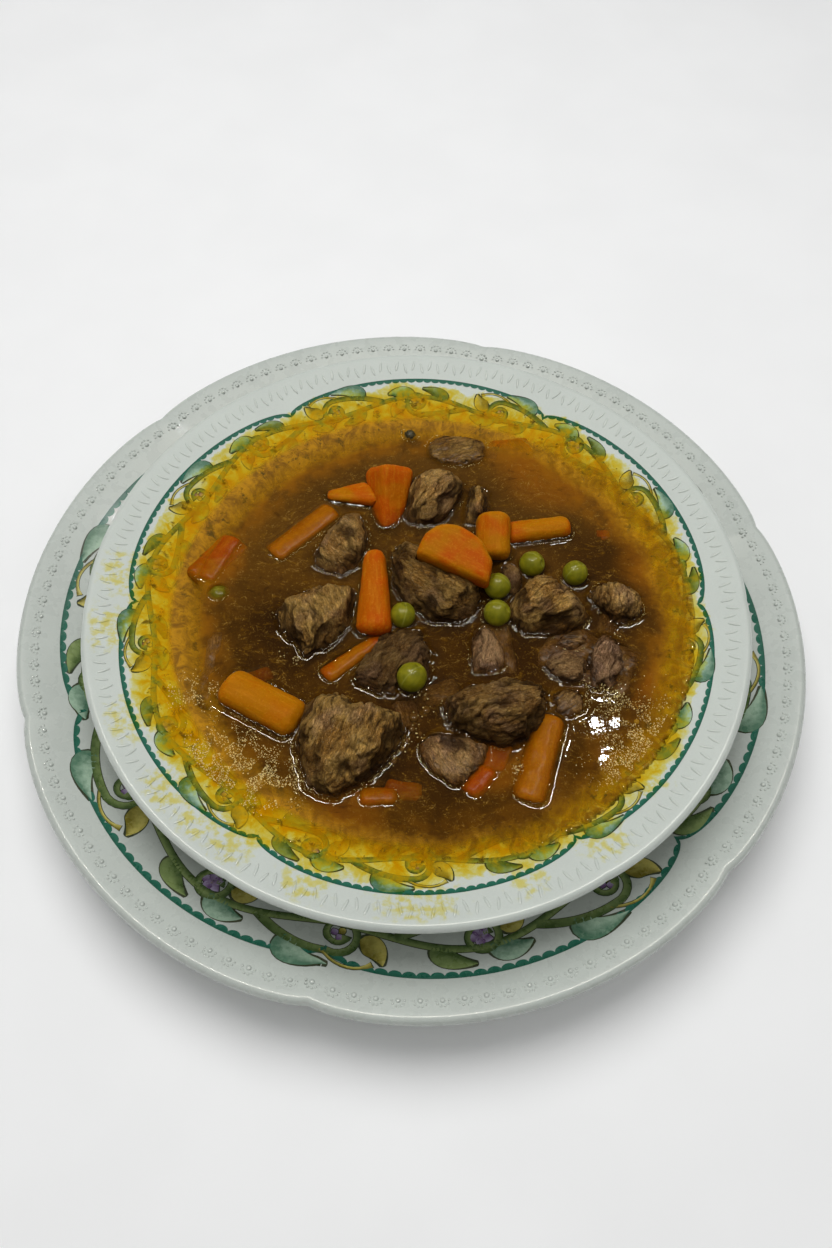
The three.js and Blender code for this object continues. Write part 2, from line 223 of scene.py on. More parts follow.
def heading(bearing, rise=0):
    """The way that lies at a bearing in degrees, from X round to Y."""
    turn = math.radians(bearing)
    return Vector((math.cos(turn), math.sin(turn), rise))


def bell(value, middle, width):
    """1 at the middle, falling off to both sides."""
    return math.exp(-(((value - middle) / width) ** 2))


# ---------------------------------------------------------------- plates

LOBES = 6
NICK = 0.26  # width of the nicks between the rim's bows
FLATNESS = 0.23  # the lower, the flatter the bows
CROWDING = 0.6  # how much closer the steps of a plate's mesh are at the nicks
PROFILE_STRIDE = 1.6  # length of a step along a profile
PEARLS, PEARL_RING = 126, 128.2  # how many, and how far out
FLUTES, FLUTE_RING = 210, 103.6


def middle_of(node):
    low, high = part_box(node)
    return Vector(((low.x + high.x) / 2, (low.y + high.y) / 2, 0)) / MM


def lip(radius, top, round_over):
    """The rounded edge, from the underside over the edge to the top."""
    points = []
    for step in range(11):
        angle = math.radians(-100 + 20 * step)
        height = top - round_over + round_over * math.sin(angle)
        points.append((radius - round_over + round_over * math.cos(angle), height))
    return points


def eased(points, stride):
    """A smooth curve through the points of a profile."""
    curve = []
    ends = [points[0]] + list(points) + [points[-1]]
    for before, start, end, after in zip(ends, ends[1:], ends[2:], ends[3:]):
        span = math.dist(start, end)
        steps = max(1, round(span / stride))
        for step in range(steps):
            t = step / steps
            spot = []
            for a, b, c, d in zip(before, start, end, after):
                pull_in = (c - a) * min(1, span / max(1e-6, math.dist(before, end)))
                pull_out = (d - b) * min(1, span / max(1e-6, math.dist(start, after)))
                bend = (2 * b - 2 * c + pull_in + pull_out) * t**3
                spot.append(b + pull_in * t + (3 * c - 3 * b - 2 * pull_in - pull_out) * t**2 + bend)
            curve.append((max(0.0, spot[0]), max(0.0, spot[1])))
    curve.append(points[-1])
    return curve


def plate(node, turn, depth, fade_from, under, edge, over):
    """A plate's sizes. under, edge and over are the profile's stretches, middle to middle."""
    profile = eased(under + edge + over, PROFILE_STRIDE)
    widest = max(range(len(profile)), key=lambda i: profile[i][0])
    return SimpleNamespace(
        node=node,
        centre=middle_of(node),
        turn=math.radians(turn),
        depth=depth,
        fade_from=fade_from,
        radius=profile[widest][0],
        profile=profile,
        top=sorted(profile[widest:]),
    )


def lobe_share(angle, dish, depth=None):
    """How far out the rim is at an angle, as a share of its radius."""
    swing = math.sin(LOBES / 2 * (angle - dish.turn))
    bow = (math.hypot(swing, NICK) - NICK) / (math.hypot(1, NICK) - NICK)
    return 1 - (depth or dish.depth) * (1 - max(0.0, bow) ** FLATNESS)


def top_height(dish, radius):
    """Height of a plate's upper side at a radius."""
    for (r0, z0), (r1, z1) in zip(dish.top, dish.top[1:]):
        if r0 <= radius <= r1:
            return z0 + (z1 - z0) * (radius - r0) / max(1e-9, r1 - r0)
    return dish.top[-1][1]


def lobed(dish, radius, angle, height):
    """A point of a plate, drawn in at the nicks, and the more so the nearer it is to the rim."""
    fade = smoothstep(radius, dish.fade_from, dish.radius)
    reach = radius * (1 + (lobe_share(angle, dish) - 1) * fade)
    return (dish.centre + Vector((reach * math.cos(angle), reach * math.sin(angle), height))) * MM


def on_plate(dish, radius, angle, lift=0.0):
    """A point on a plate's upper side, lifted off it."""
    return lobed(dish, radius, angle, top_height(dish, radius) + lift)


UNDERPLATE = plate(
    "underplate",
    turn=17.3,
    depth=0.023,
    fade_from=90,
    under=[(0, 3), (40, 3), (74, 3), (76.2, 0.8), (77, 0), (79.5, 0), (80.4, 0.8), (83, 3), (98, 8.5),
           (129, 20.4)],
    edge=lip(135, 25.4, 2.1),
    over=[(126, 23.2), (112, 17.9), (99, 12.9), (90, 8.9), (81, 7.1), (70, 7), (30, 7), (0, 7)],
)
SOUP_PLATE = plate(
    "soup_plate",
    turn=0,
    depth=0.006,
    fade_from=86,
    under=[(0, 9), (30, 9), (44, 9), (45.4, 7.8), (46, 7.3), (48.2, 7.3), (49, 7.8), (52, 9), (66, 11.2),
           (74.5, 21.2), (82, 31.2), (105.4, 37.2)],
    edge=lip(110.4, 42, 1.9),
    over=[(105.4, 41.2), (94, 38.3), (82, 35.2), (78, 33.5), (75, 29.2), (70, 20.2), (63, 14.5), (54, 13),
          (25, 13), (0, 13)],
)


def turned_plate(dish, name, steps=240):
    """A plate spun from its profile, with its rim drawn in at the nicks."""
    start = (0, 0, dish.profile[0][1] * MM)
    piece = primitive(bpy.ops.mesh.primitive_plane_add, name, size=MM, location=start)
    bpy.ops.object.mode_set(mode="EDIT")
    bpy.ops.mesh.select_all(action="SELECT")
    bpy.ops.mesh.merge(type="CENTER")
    for (r0, z0), (r1, z1) in zip(dish.profile, dish.profile[1:]):
        step = ((r1 - r0) * MM, 0, (z1 - z0) * MM)
        bpy.ops.mesh.extrude_region_move(TRANSFORM_OT_translate={"value": step})
    bpy.ops.mesh.select_all(action="SELECT")
    bpy.ops.mesh.spin(steps=steps, angle=math.tau, center=(0, 0, 0), axis=(0, 0, 1))
    bpy.ops.mesh.select_all(action="SELECT")
    bpy.ops.mesh.remove_doubles(threshold=MERGE_REACH)
    bpy.ops.mesh.normals_make_consistent(inside=False)
    bpy.ops.object.mode_set(mode="OBJECT")
    for vertex in piece.data.vertices:
        x, y, z = vertex.co / MM
        radius = math.hypot(x, y)
        angle = math.atan2(y, x)
        angle -= CROWDING / LOBES * math.sin(LOBES * (angle - dish.turn))
        vertex.co = lobed(dish, radius, angle, z)
    smooth(piece)
    return piece


def pose_on(dish, radius, angle, lift=0.0):
    """A frame on a plate's upper side: X along the rim, Y outwards, Z off the glaze."""
    here = on_plate(dish, radius, angle, lift)
    along = (on_plate(dish, radius, angle + 0.01, lift) - here).normalized()
    out = (on_plate(dish, radius + 0.5, angle, lift) - here).normalized()
    up = along.cross(out)
    if up.z < 0:
        up.negate()
    out = up.cross(along)
    axes = Matrix((along, out, up)).transposed()
    return Matrix.Translation(here) @ axes.to_4x4()


def relief_beads():
    """Raised pearls all along the underplate's rim, each in a half ring of small beads."""
    pearl = primitive(bpy.ops.mesh.primitive_ico_sphere_add, "pearl", subdivisions=2, radius=0.85 * MM)

    def add_beads(shape):
        for angle in range(-180, 1, 36):
            bead = bmesh.ops.create_icosphere(shape, subdivisions=2, radius=0.44 * MM)
            turn = math.radians(angle)
            off = Vector((1.9 * math.cos(turn), 1.9 * math.sin(turn), 0)) * MM
            bmesh.ops.translate(shape, verts=bead["verts"], vec=off)
        bmesh.ops.scale(shape, verts=shape.verts, vec=(1, 1, 0.75))

    rework(pearl, add_beads)
    places = []
    for i in range(PEARLS):
        size = 1 + 0.05 * random.uniform(-1, 1)
        places.append(pose_on(UNDERPLATE, PEARL_RING, math.tau * i / PEARLS, -0.06) @ Matrix.Scale(size, 4))
    return repeated("underplate_relief", pearl, places)


def relief_flutes():
    """Short raised flutes all along the soup plate's rim, leaning left and right in turn."""
    flute = primitive(bpy.ops.mesh.primitive_uv_sphere_add, "flute", segments=8, ring_count=6, radius=MM)
    for vertex in flute.data.vertices:
        vertex.co.x *= 0.55
        vertex.co.y *= 2.4
        vertex.co.z *= 0.36
    places = []
    for i in range(FLUTES):
        lean = Matrix.Rotation(math.radians(14 * (-1) ** i), 4, "Z")
        places.append(pose_on(SOUP_PLATE, FLUTE_RING + 1.1 * (i % 2), math.tau * i / FLUTES, -0.05) @ lean)
    return repeated("soup_plate_relief", flute, places)


# ---------------------------------------------------------------- painted border

class Ink:
    """Brush strokes of one colour on a plate, as flat strips that keep their own directions."""

    def __init__(self):
        self.verts = []
        self.faces = []
        self.along = []
        self.across = []

    def point(self, spot, along, across):
        self.verts.append(spot)
        self.along.append(along)
        self.across.append(across)

    def weave(self, first, rows, lanes):
        """Faces between rows of lanes + 1 points each."""
        for row in range(rows):
            for lane in range(lanes):
                corner = first + row * (lanes + 1) + lane
                self.faces.append((corner, corner + 1, corner + lanes + 2, corner + lanes + 1))

    def stroke(self, lay, spine, half_width, lift, lanes=4):
        """A strip along spine. lay puts (way along, way out, lift) on the plate."""
        first = len(self.verts)
        for i, (s, t) in enumerate(spine):
            s0, t0 = spine[max(0, i - 1)]
            s1, t1 = spine[min(len(spine) - 1, i + 1)]
            length = math.hypot(s1 - s0, t1 - t0) or 1
            share = i / (len(spine) - 1)
            for lane in range(lanes + 1):
                side = 2 * lane / lanes - 1
                off = side * half_width(share)
                spot = lay(s - (t1 - t0) / length * off, t + (s1 - s0) / length * off, lift)
                self.point(spot, share, side)
        self.weave(first, len(spine) - 1, lanes)

    def piece(self, name):
        """The strokes as one thin closed shell."""
        made = body_from(name, self.verts, self.faces)
        attribute(made, "along", self.along)
        attribute(made, "across", self.across)

        def face_up(shape):
            bmesh.ops.remove_doubles(shape, verts=shape.verts, dist=0.004 * MM)
            shape.normal_update()
            bmesh.ops.reverse_faces(shape, faces=[face for face in shape.faces if face.normal.z < 0])

        rework(made, face_up)
        modify(made, "SOLIDIFY", thickness=0.12 * MM, offset=-1)
        only(made)
        bpy.ops.object.shade_smooth_by_angle(angle=math.radians(40))
        return made


def arc_points(start, bend, end, steps):
    """Points on the curve from start to end that bends towards bend."""
    def at(t):
        return tuple((1 - t) ** 2 * a + 2 * t * (1 - t) * b + t * t * c for a, b, c in zip(start, bend, end))
    return [at(i / steps) for i in range(steps + 1)]


FILL_LIFT = 0.11  # how far the strips lie over the glaze: colours, and outlines under them
LINE_LIFT = 0.06


def vine(dish, mid, waves, sway, size, inks):
    """A wavy stem all round a plate's border, with scrolls, leaves, blossoms and berries."""
    length = math.tau * mid / waves
    outline = 0.24 * size ** 0.5

    def wave(s):
        return sway * math.sin(math.tau * s / length)

    def beyond(last, before):
        reach = outline / math.dist(last, before)
        return tuple(a + (a - b) * reach for a, b in zip(last, before))

    def drawn(ink, spine, half_width, lay, lanes=4):
        inks[ink].stroke(lay, spine, half_width, FILL_LIFT, lanes)
        longer = [beyond(spine[0], spine[1])] + spine + [beyond(spine[-1], spine[-2])]
        inks["outline"].stroke(lay, longer, lambda u: half_width(u) + outline, LINE_LIFT, 2)

    def leaf(ink, base, bend, tip, width, lay):
        spine = arc_points(base, bend, tip, 12)
        drawn(ink, spine, lambda u: 1.25 * width * size * math.sin(math.pi * u ** 0.75) ** 0.9 + 0.02, lay)

    def dot(ink, spot, radius, lay):
        spine = [(spot[0] - radius * math.cos(a), spot[1]) for a in (math.pi * i / 8 for i in range(9))]
        drawn(ink, spine, lambda u: radius * math.sqrt(max(0.0, 1 - (2 * u - 1) ** 2)), lay)

    def lay_flat(s, t, lift):
        return on_plate(dish, mid + t, s / mid, lift)

    rounds = int(math.tau * mid / (1.1 * size ** 0.5))
    stem = [(math.tau * mid * i / rounds, wave(math.tau * mid * i / rounds)) for i in range(rounds + 1)]
    inks["leaf_green"].stroke(lay_flat, stem, lambda u: 0.95 * size, FILL_LIFT)
    inks["outline"].stroke(lay_flat, stem, lambda u: 0.95 * size + outline, LINE_LIFT, 2)

    for k in range(2 * waves):
        side = 1 if k % 2 == 0 else -1
        start = k * length / 2

        def lay(s, t, lift):
            return on_plate(dish, mid + side * t, (start + s) / mid, lift)

        def ring(centre, radius, turn):
            return centre + radius * math.cos(turn), radius * math.sin(turn)

        crest = length / 4
        coil = 6.2 * size
        low = -0.05 * length
        branch = arc_points((low, wave(low)), (0.1 * length, -coil * 1.05), (crest, -coil), 12)
        for i in range(1, 27):
            branch.append(ring(crest, coil * (1 - 0.64 * (i / 26) ** 0.8), math.radians(-90 + 17 * i)))

        def branch_width(u):
            return size * (1.2 - 0.55 * u + 0.75 * bell(u, 0.985, 0.035))

        drawn("leaf_green", branch, branch_width, lay)
        far = crest + coil
        leaves = [  # colour, foot, bend, tip and width
            ("leaf_blue", (0.09 * length, -coil * 0.62), (0.05 * length, -coil * 1.7),
             (0.24 * length, -coil * 1.62), 2.7),
            ("leaf_olive", (far - 0.4, -0.8), (far + 5 * size, -1.5 * size),
             (far + 6.5 * size, -7.5 * size), 2.5),
            ("leaf_green", (0.08 * length, wave(0.08 * length)), (0.1 * length, sway * 1.9),
             (0.22 * length, sway + 4.4 * size), 2.2),
            ("leaf_blue", (0.27 * length, sway * 0.98), (0.33 * length, sway + 4 * size),
             (0.42 * length, sway + 1.6 * size), 2.5),
        ]
        for sizes in leaves:
            leaf(*sizes, lay)

        def tendril_width(u):
            return size * (0.35 + 0.55 * bell(u, 0.97, 0.08))

        tendril = [(0.2 * length, -coil * 1.0), (0.3 * length, -coil * 1.9), (0.38 * length, -coil * 1.2)]
        drawn("leaf_olive", arc_points(*tendril, 9), tendril_width, lay, 2)
        if k % 2 == 0:
            for petal in range(5):
                turn = math.tau * (petal / 5) + 0.4
                bend = ring(crest, 1.9 * size, turn + 0.2)
                leaf("petal", (crest, 0), bend, ring(crest, 3.5 * size, turn), 1.05, lay)
            dot("leaf_olive", (crest, 0), 0.7 * size, lay)
        else:
            for berry in range(3):
                spot = ring(crest, 1.25 * size, math.tau * berry / 3 + 0.9)
                dot("petal" if berry else "leaf_olive", spot, 0.95 * size, lay)


def beaded_line(dish, radius, width, bead, pitch, ink):
    """A line round the border that follows the rim's bows, with half-round beads on its inner side."""
    beads = round(math.tau * radius / pitch)
    steps = beads * 10
    dip = 0.05  # how much further than the rim the line goes in at the nicks
    rows = 4
    for i in range(steps + 1):
        angle = math.tau * i / steps
        share = lobe_share(angle, dish, dip)
        inner = bead * abs(math.sin(math.pi * beads * i / steps)) ** 0.55
        for row in range(rows + 1):
            r = radius * share + width / 2 - (width + inner) * row / rows
            ink.point(on_plate(dish, r, angle, 0.1), i / steps, 2 * row / rows - 1)
    ink.weave(0, steps, rows)


# ---------------------------------------------------------------- stew

def spread_axis(piece):
    """The direction that a piece is longest in."""
    points = [vertex.co / MM for vertex in piece.data.vertices]
    middle = sum(points, Vector()) / len(points)
    axis = Vector((1, 0.3, 0.1))
    for _ in range(12):
        axis = sum(((point - middle).dot(axis) * (point - middle) for point in points), Vector()).normalized()
    return axis, middle


def own_axes(piece, along, middle):
    """Writes each vertex's place along and across a piece, for its grain."""
    side = along.cross(Vector((0, 0, 1))).normalized()
    up = side.cross(along)
    spots = []
    for vertex in piece.data.vertices:
        off = vertex.co / MM - middle
        spots.append((off.dot(along), off.dot(side), off.dot(up)))
    attribute(piece, "grain", spots, "FLOAT_VECTOR")


def lumps(spot):
    """Rounded lumps with narrow creases between them, 0 in a crease and 1 on a lump."""
    return min(1.0, abs(noise.noise(spot)) * 2.8) ** 0.62


def flat_sides(spots, middle, seed):
    """Pushes a chunk's bulges back to a few flat cut sides."""
    centre = Vector((middle.x, middle.y, LEVEL))
    pick = random.Random(seed)
    planes = [
        (Vector((pick.uniform(-0.2, 0.2), pick.uniform(-0.1, 0.25), 1)), 0.84),
        (Vector((pick.uniform(-0.7, 0.0), -0.8, 0.75)), 0.9),
        (Vector((pick.uniform(0.1, 0.8), -0.7, 0.7)), 0.9),
        (Vector((pick.uniform(-0.5, 0.5), 0.8, 0.9)), 0.9),
        (Vector((-0.9, pick.uniform(-0.3, 0.5), 0.8)), 0.91),
    ]
    for normal, share in planes:
        normal.normalize()
        limit = share * max((spot - centre).dot(normal) for spot in spots)
        for spot in spots:
            over = (spot - centre).dot(normal) - limit
            if over > 0:
                spot -= normal * over * 0.85
    return spots


BEEF_GRID = 0.42  # spacing of a chunk's mesh
CARROT_GRID = 0.45
SUNK_GRID = 0.7
BIG, CURD, CRUMB = 8.5, 3.4, 1.6  # sizes of a chunk's lumps
BUNDLE = 3.4  # width of a bundle of fibres
FIBRES = 0.75  # fibres across a millimetre
LUMPS_DRAWN, FIBRES_DRAWN = 0.6, 0.88  # how far both are drawn out along the grain


def beef(node, bearing, tear, tone, lilac):
    """A torn chunk: flat cut sides and lumpy torn ones, crossed by muscle fibres."""
    piece = copy_of(node, "stewed_" + node)
    regrid(piece, BEEF_GRID, 2)
    middle = sum((vertex.co for vertex in piece.data.vertices), Vector()) / len(piece.data.vertices) / MM
    spots = flat_sides([vertex.co / MM for vertex in piece.data.vertices], middle, node)
    for vertex, spot in zip(piece.data.vertices, spots):
        vertex.co = spot * MM
    modify(piece, "SMOOTH", factor=0.5, iterations=2)
    grain = heading(bearing, 0.15).normalized()
    across = (grain.cross(Vector((0, 0, 1))) + Vector((0, 0, 0.35))).normalized()
    seed = Vector((bearing * 0.37, len(node) + bearing * 0.11, 4.2))
    stands = smoothstep(max(spot.z for spot in spots) - LEVEL, 0.5, 4.5)
    creases = []
    soaked = []

    def torn_place(vertex):
        spot = vertex.co / MM
        bent = spot + noise.noise_vector(spot * 0.15 + seed) * 2.4
        bent = bent + noise.noise_vector(spot * 0.45 + seed) * 0.9
        strung = bent - grain * (bent.dot(grain) * LUMPS_DRAWN)
        stranded = bent - grain * (bent.dot(grain) * FIBRES_DRAWN)
        side = 1 - smoothstep(vertex.normal.z, 0.35, 0.97)
        torn = smoothstep(0.75 * side + 1.0 * noise.noise(spot * 0.12 - seed), -0.05, 0.75)
        big = lumps(strung / BIG + seed)
        curd = lumps(strung / CURD - seed)
        crumb = lumps(strung / CRUMB + seed)
        fibre = lumps(stranded * FIBRES + seed)
        bundle = (bent.dot(across) / BUNDLE + 0.5 * noise.noise(spot * 0.16 + seed)) % 1
        overlap = smoothstep(noise.noise(spot * 0.11 - seed * 2), -0.3, 0.15)
        height = (0.28 + 0.95 * torn) * (big - 0.75) + (0.15 + 0.55 * torn) * (curd - 0.7)
        height += 0.24 * (0.2 + torn) * (crumb - 0.6) + 0.42 * (fibre - 0.7)
        height += 0.75 * overlap * (bundle - 0.5)
        height *= tear * (0.45 + 0.55 * stands)
        # Painted shade: the creases between lumps are darker, most where the chunk is torn open, and so are
        # the edges of fibre bundles.
        open_fold = 0.3 + 0.7 * torn
        light = (1 - (1 - curd) * open_fold) * (1 - (1 - big) * open_fold) * (1 - 0.35 * torn * (1 - crumb))
        light *= 1 - 0.5 * (1 - fibre)
        creases.append(1 - light * (1 - 0.7 * overlap * smoothstep(bundle, 0.2, 0.02)))
        # Painted shade: steep sides are darker, and most those that face the front; lower down the darkening
        # is partly painted shade and partly soaking by the gravy, broken up by noise.
        low = 1 - smoothstep(spot.z - LEVEL, 0.3, 4.5)
        front = max(0.0, -vertex.normal.y)
        darkening = 0.42 * side + 0.25 * low + 0.35 * front * side + 0.3 * noise.noise(spot * 0.25 + seed)
        soaked.append(stands * min(1.0, max(0.0, darkening)))
        return vertex.co + vertex.normal * height * MM

    move_all(piece, torn_place)
    attribute(piece, "crease", creases)
    attribute(piece, "soaked", soaked)
    even(piece, tone=tone, lilac=lilac)
    own_axes(piece, grain, middle)
    smooth(piece)
    return piece


def carrot(node, amber, rounds):
    """A cut piece of carrot with its edges softened by cooking."""
    piece = copy_of(node, "cooked_" + node)
    regrid(piece, CARROT_GRID, rounds)
    along, middle = spread_axis(piece)

    def dented_place(vertex):
        spot = vertex.co / MM
        dent = 0.005 * rounds + 0.2 * noise.noise(spot * 0.3) + 0.06 * noise.noise(spot * 1.3)
        return vertex.co + vertex.normal * dent * MM

    move_all(piece, dented_place)
    even(piece, amber=amber)
    own_axes(piece, along, middle)
    smooth(piece)
    return piece


def pea(node):
    """A cooked pea: a little out of round, its skin pulled in at the scar and along the seam."""
    low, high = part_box(node)
    radius = (high - low).z / 2 / MM
    middle = (low + high) / 2
    ball = bpy.ops.mesh.primitive_ico_sphere_add
    piece = primitive(ball, "cooked_" + node, subdivisions=5, radius=radius * MM, location=middle)
    turn = random.uniform(0, math.tau)
    scar = Vector((math.cos(turn), math.sin(turn) - 0.4, 0.75)).normalized()
    seam = scar.cross(Vector((0.3, 0.2, 1))).normalized()
    for vertex in piece.data.vertices:
        out = (vertex.co - middle).normalized()
        dent = 0.5 * bell(1 - out.dot(scar), 0, 0.035)
        groove = 0.13 * bell(out.dot(seam), 0, 0.05) * smoothstep(out.dot(scar), -0.3, 0.6)
        uneven = 0.14 * noise.noise(out * 1.7 + middle / MM) + 0.03 * noise.noise(out * 7)
        squash = 1 - 0.03 * abs(out.dot(seam))
        vertex.co = middle + out * (radius * squash + uneven - dent - groove - 0.08) * MM
    attribute(piece, "seam", [abs((v.co - middle).normalized().dot(seam)) for v in piece.data.vertices])
    smooth(piece)
    return piece


def peppercorn(node):
    low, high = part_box(node)
    radius = (high - low).z / 2
    middle = (low + high) / 2
    ball = bpy.ops.mesh.primitive_ico_sphere_add
    piece = primitive(ball, "wrinkled_" + node, subdivisions=4, radius=radius, location=middle)
    for vertex in piece.data.vertices:
        out = (vertex.co - middle).normalized()
        near = noise.voronoi(out * 2.4)[0]
        vertex.co = middle + out * radius * (0.86 + 0.14 * min(1.0, 2 * (near[1] - near[0])))
    smooth(piece)
    return piece


# What lies wholly under the surface: plan middle, depth of its top, length, width, height, bearing
SUNK_CARROTS = [
    (77, -36, 2.8, 19, 11, 7, 55),
    (37, 67, 2.2, 17, 10, 7, 10),
    (27, -57.5, 0.6, 11, 8, 5, 70),
    (-2, -69, 0.9, 12, 7, 5, 170),
    (-49, -30, 1.6, 10, 7, 5, 20),
    (-66.5, 15.5, 0.35, 21, 12, 6, 53),
    (67.2, 26.5, 0.35, 6, 5.5, 4, 10),
]
SUNK_BEEF = [
    (-65, -27, 0.35, 26, 4.5, 8, 84),
    (9, -36, 0.9, 15, 9, 6, 20),
    (-1, -43, 1.0, 11, 8, 6, 110),
    (45, 2, 0.8, 10, 7, 5, 40),
    (66, -9, 1.0, 12, 7, 6, 70),
    (58, -23, 0.3, 31, 19, 6, 155),
    (28, -20, 0.5, 20, 11, 6, 95),
    (26, 64, 1.2, 14, 8, 6, 160),
]


def sunk(name, x, y, depth, length, width, height, bearing, uneven):
    """A rounded block under the surface."""
    middle = Vector((x, y, LEVEL - depth - height / 2))
    piece = primitive(bpy.ops.mesh.primitive_cube_add, name, size=MM, location=middle * MM)
    bpy.ops.object.mode_set(mode="EDIT")
    bpy.ops.mesh.select_all(action="SELECT")
    bpy.ops.transform.resize(value=(length, width, height), center_override=middle * MM)
    bpy.ops.transform.rotate(value=-math.radians(bearing), orient_axis="Z", center_override=middle * MM)
    bpy.ops.mesh.bevel(offset=0.3 * min(width, height) * MM, segments=3)
    bpy.ops.mesh.subdivide(number_cuts=3)
    bpy.ops.object.mode_set(mode="OBJECT")
    regrid(piece, SUNK_GRID, 4)
    top = LEVEL - 0.5 * depth

    def swollen_place(vertex):
        spot = vertex.co / MM
        swell = uneven * (noise.noise(spot * 0.18) + 0.4 * noise.noise(spot * 0.6))
        spot += vertex.normal * swell
        spot.z = min(spot.z, top)
        return spot * MM

    move_all(piece, swollen_place)
    even(piece, crease=0.25, soaked=0.2, tone=0.9, lilac=0.4, amber=0.2)
    own_axes(piece, heading(bearing), middle)
    smooth(piece)
    return piece


GRAVY_R = 92.6  # just inside the glaze of the border
GRAVY_CELLS = 130  # cells across the surface's mesh, made finer twice near the pieces
FINER_NEAR = (4.2, 2.6)
# The gravy's underside from its edge inwards: radius and height
BED = [(82, 35.8), (78, 34), (75, 29.6), (70, 20.7), (63, 15), (54, 13.5), (25, 13.4)]
TALL = 3.0  # a piece that stands out this far draws the gravy up in full
CLIMB = (0.35, 0.9)  # how high the gravy climbs at a low and at a tall piece
CLIMB_REACH = (0.8, 1.1)  # how fast it falls away there
GLEAM_SLOPE = 0.268  # the slope of the climb that mirrors the strips overhead
BRINK_WIDTH = 0.6  # width of the line of gleams that is broken up


class Shapes:
    """A search tree over several pieces, in millimetres, that knows the top of each."""

    def __init__(self, pieces):
        verts = []
        faces = []
        shore = []
        self.owners = []
        self.rises = []
        for index, piece in enumerate(pieces):
            first = len(verts)
            own = [vertex.co / MM for vertex in piece.data.vertices]
            verts += own
            self.rises.append(max(spot.z for spot in own) - LEVEL)
            sides = [[first + i for i in face.vertices] for face in piece.data.polygons]
            faces += sides
            out = [side for side in sides if max(verts[i].z for i in side) > LEVEL - 0.1]
            shore += out
            self.owners += [index] * len(out)
        self.tree = BVHTree.FromPolygons(verts, faces)
        self.shore = BVHTree.FromPolygons(verts, shore)
        self.brim = [spot for spot in verts if spot.z > LEVEL - 0.2]

    def nearest(self, x, y, reach):
        """Distance, direction away from the nearest piece standing out, and how far out it stands."""
        here = Vector((x, y, LEVEL + 0.1))
        spot, _, face, gap = self.shore.find_nearest(here, reach)
        if spot is None:
            return reach, Vector((0, 0)), 0
        away = (here - spot).xy
        return gap, away.normalized() if away.length > 1e-6 else Vector((0, 0)), self.rises[self.owners[face]]

    def top(self, x, y):
        """Height of the topmost piece at a place, or 0 where there is none."""
        spot = self.tree.ray_cast(Vector((x, y, LEVEL + 40)), Vector((0, 0, -1)))[0]
        return 0 if spot is None else spot.z

    def under(self, x, y, above=0.3, reach=14):
        """Depth of the first thing straight below the surface."""
        spot = self.tree.ray_cast(Vector((x, y, LEVEL + above)), Vector((0, 0, -1)), reach)[0]
        return reach if spot is None else max(0.0, LEVEL - spot.z)


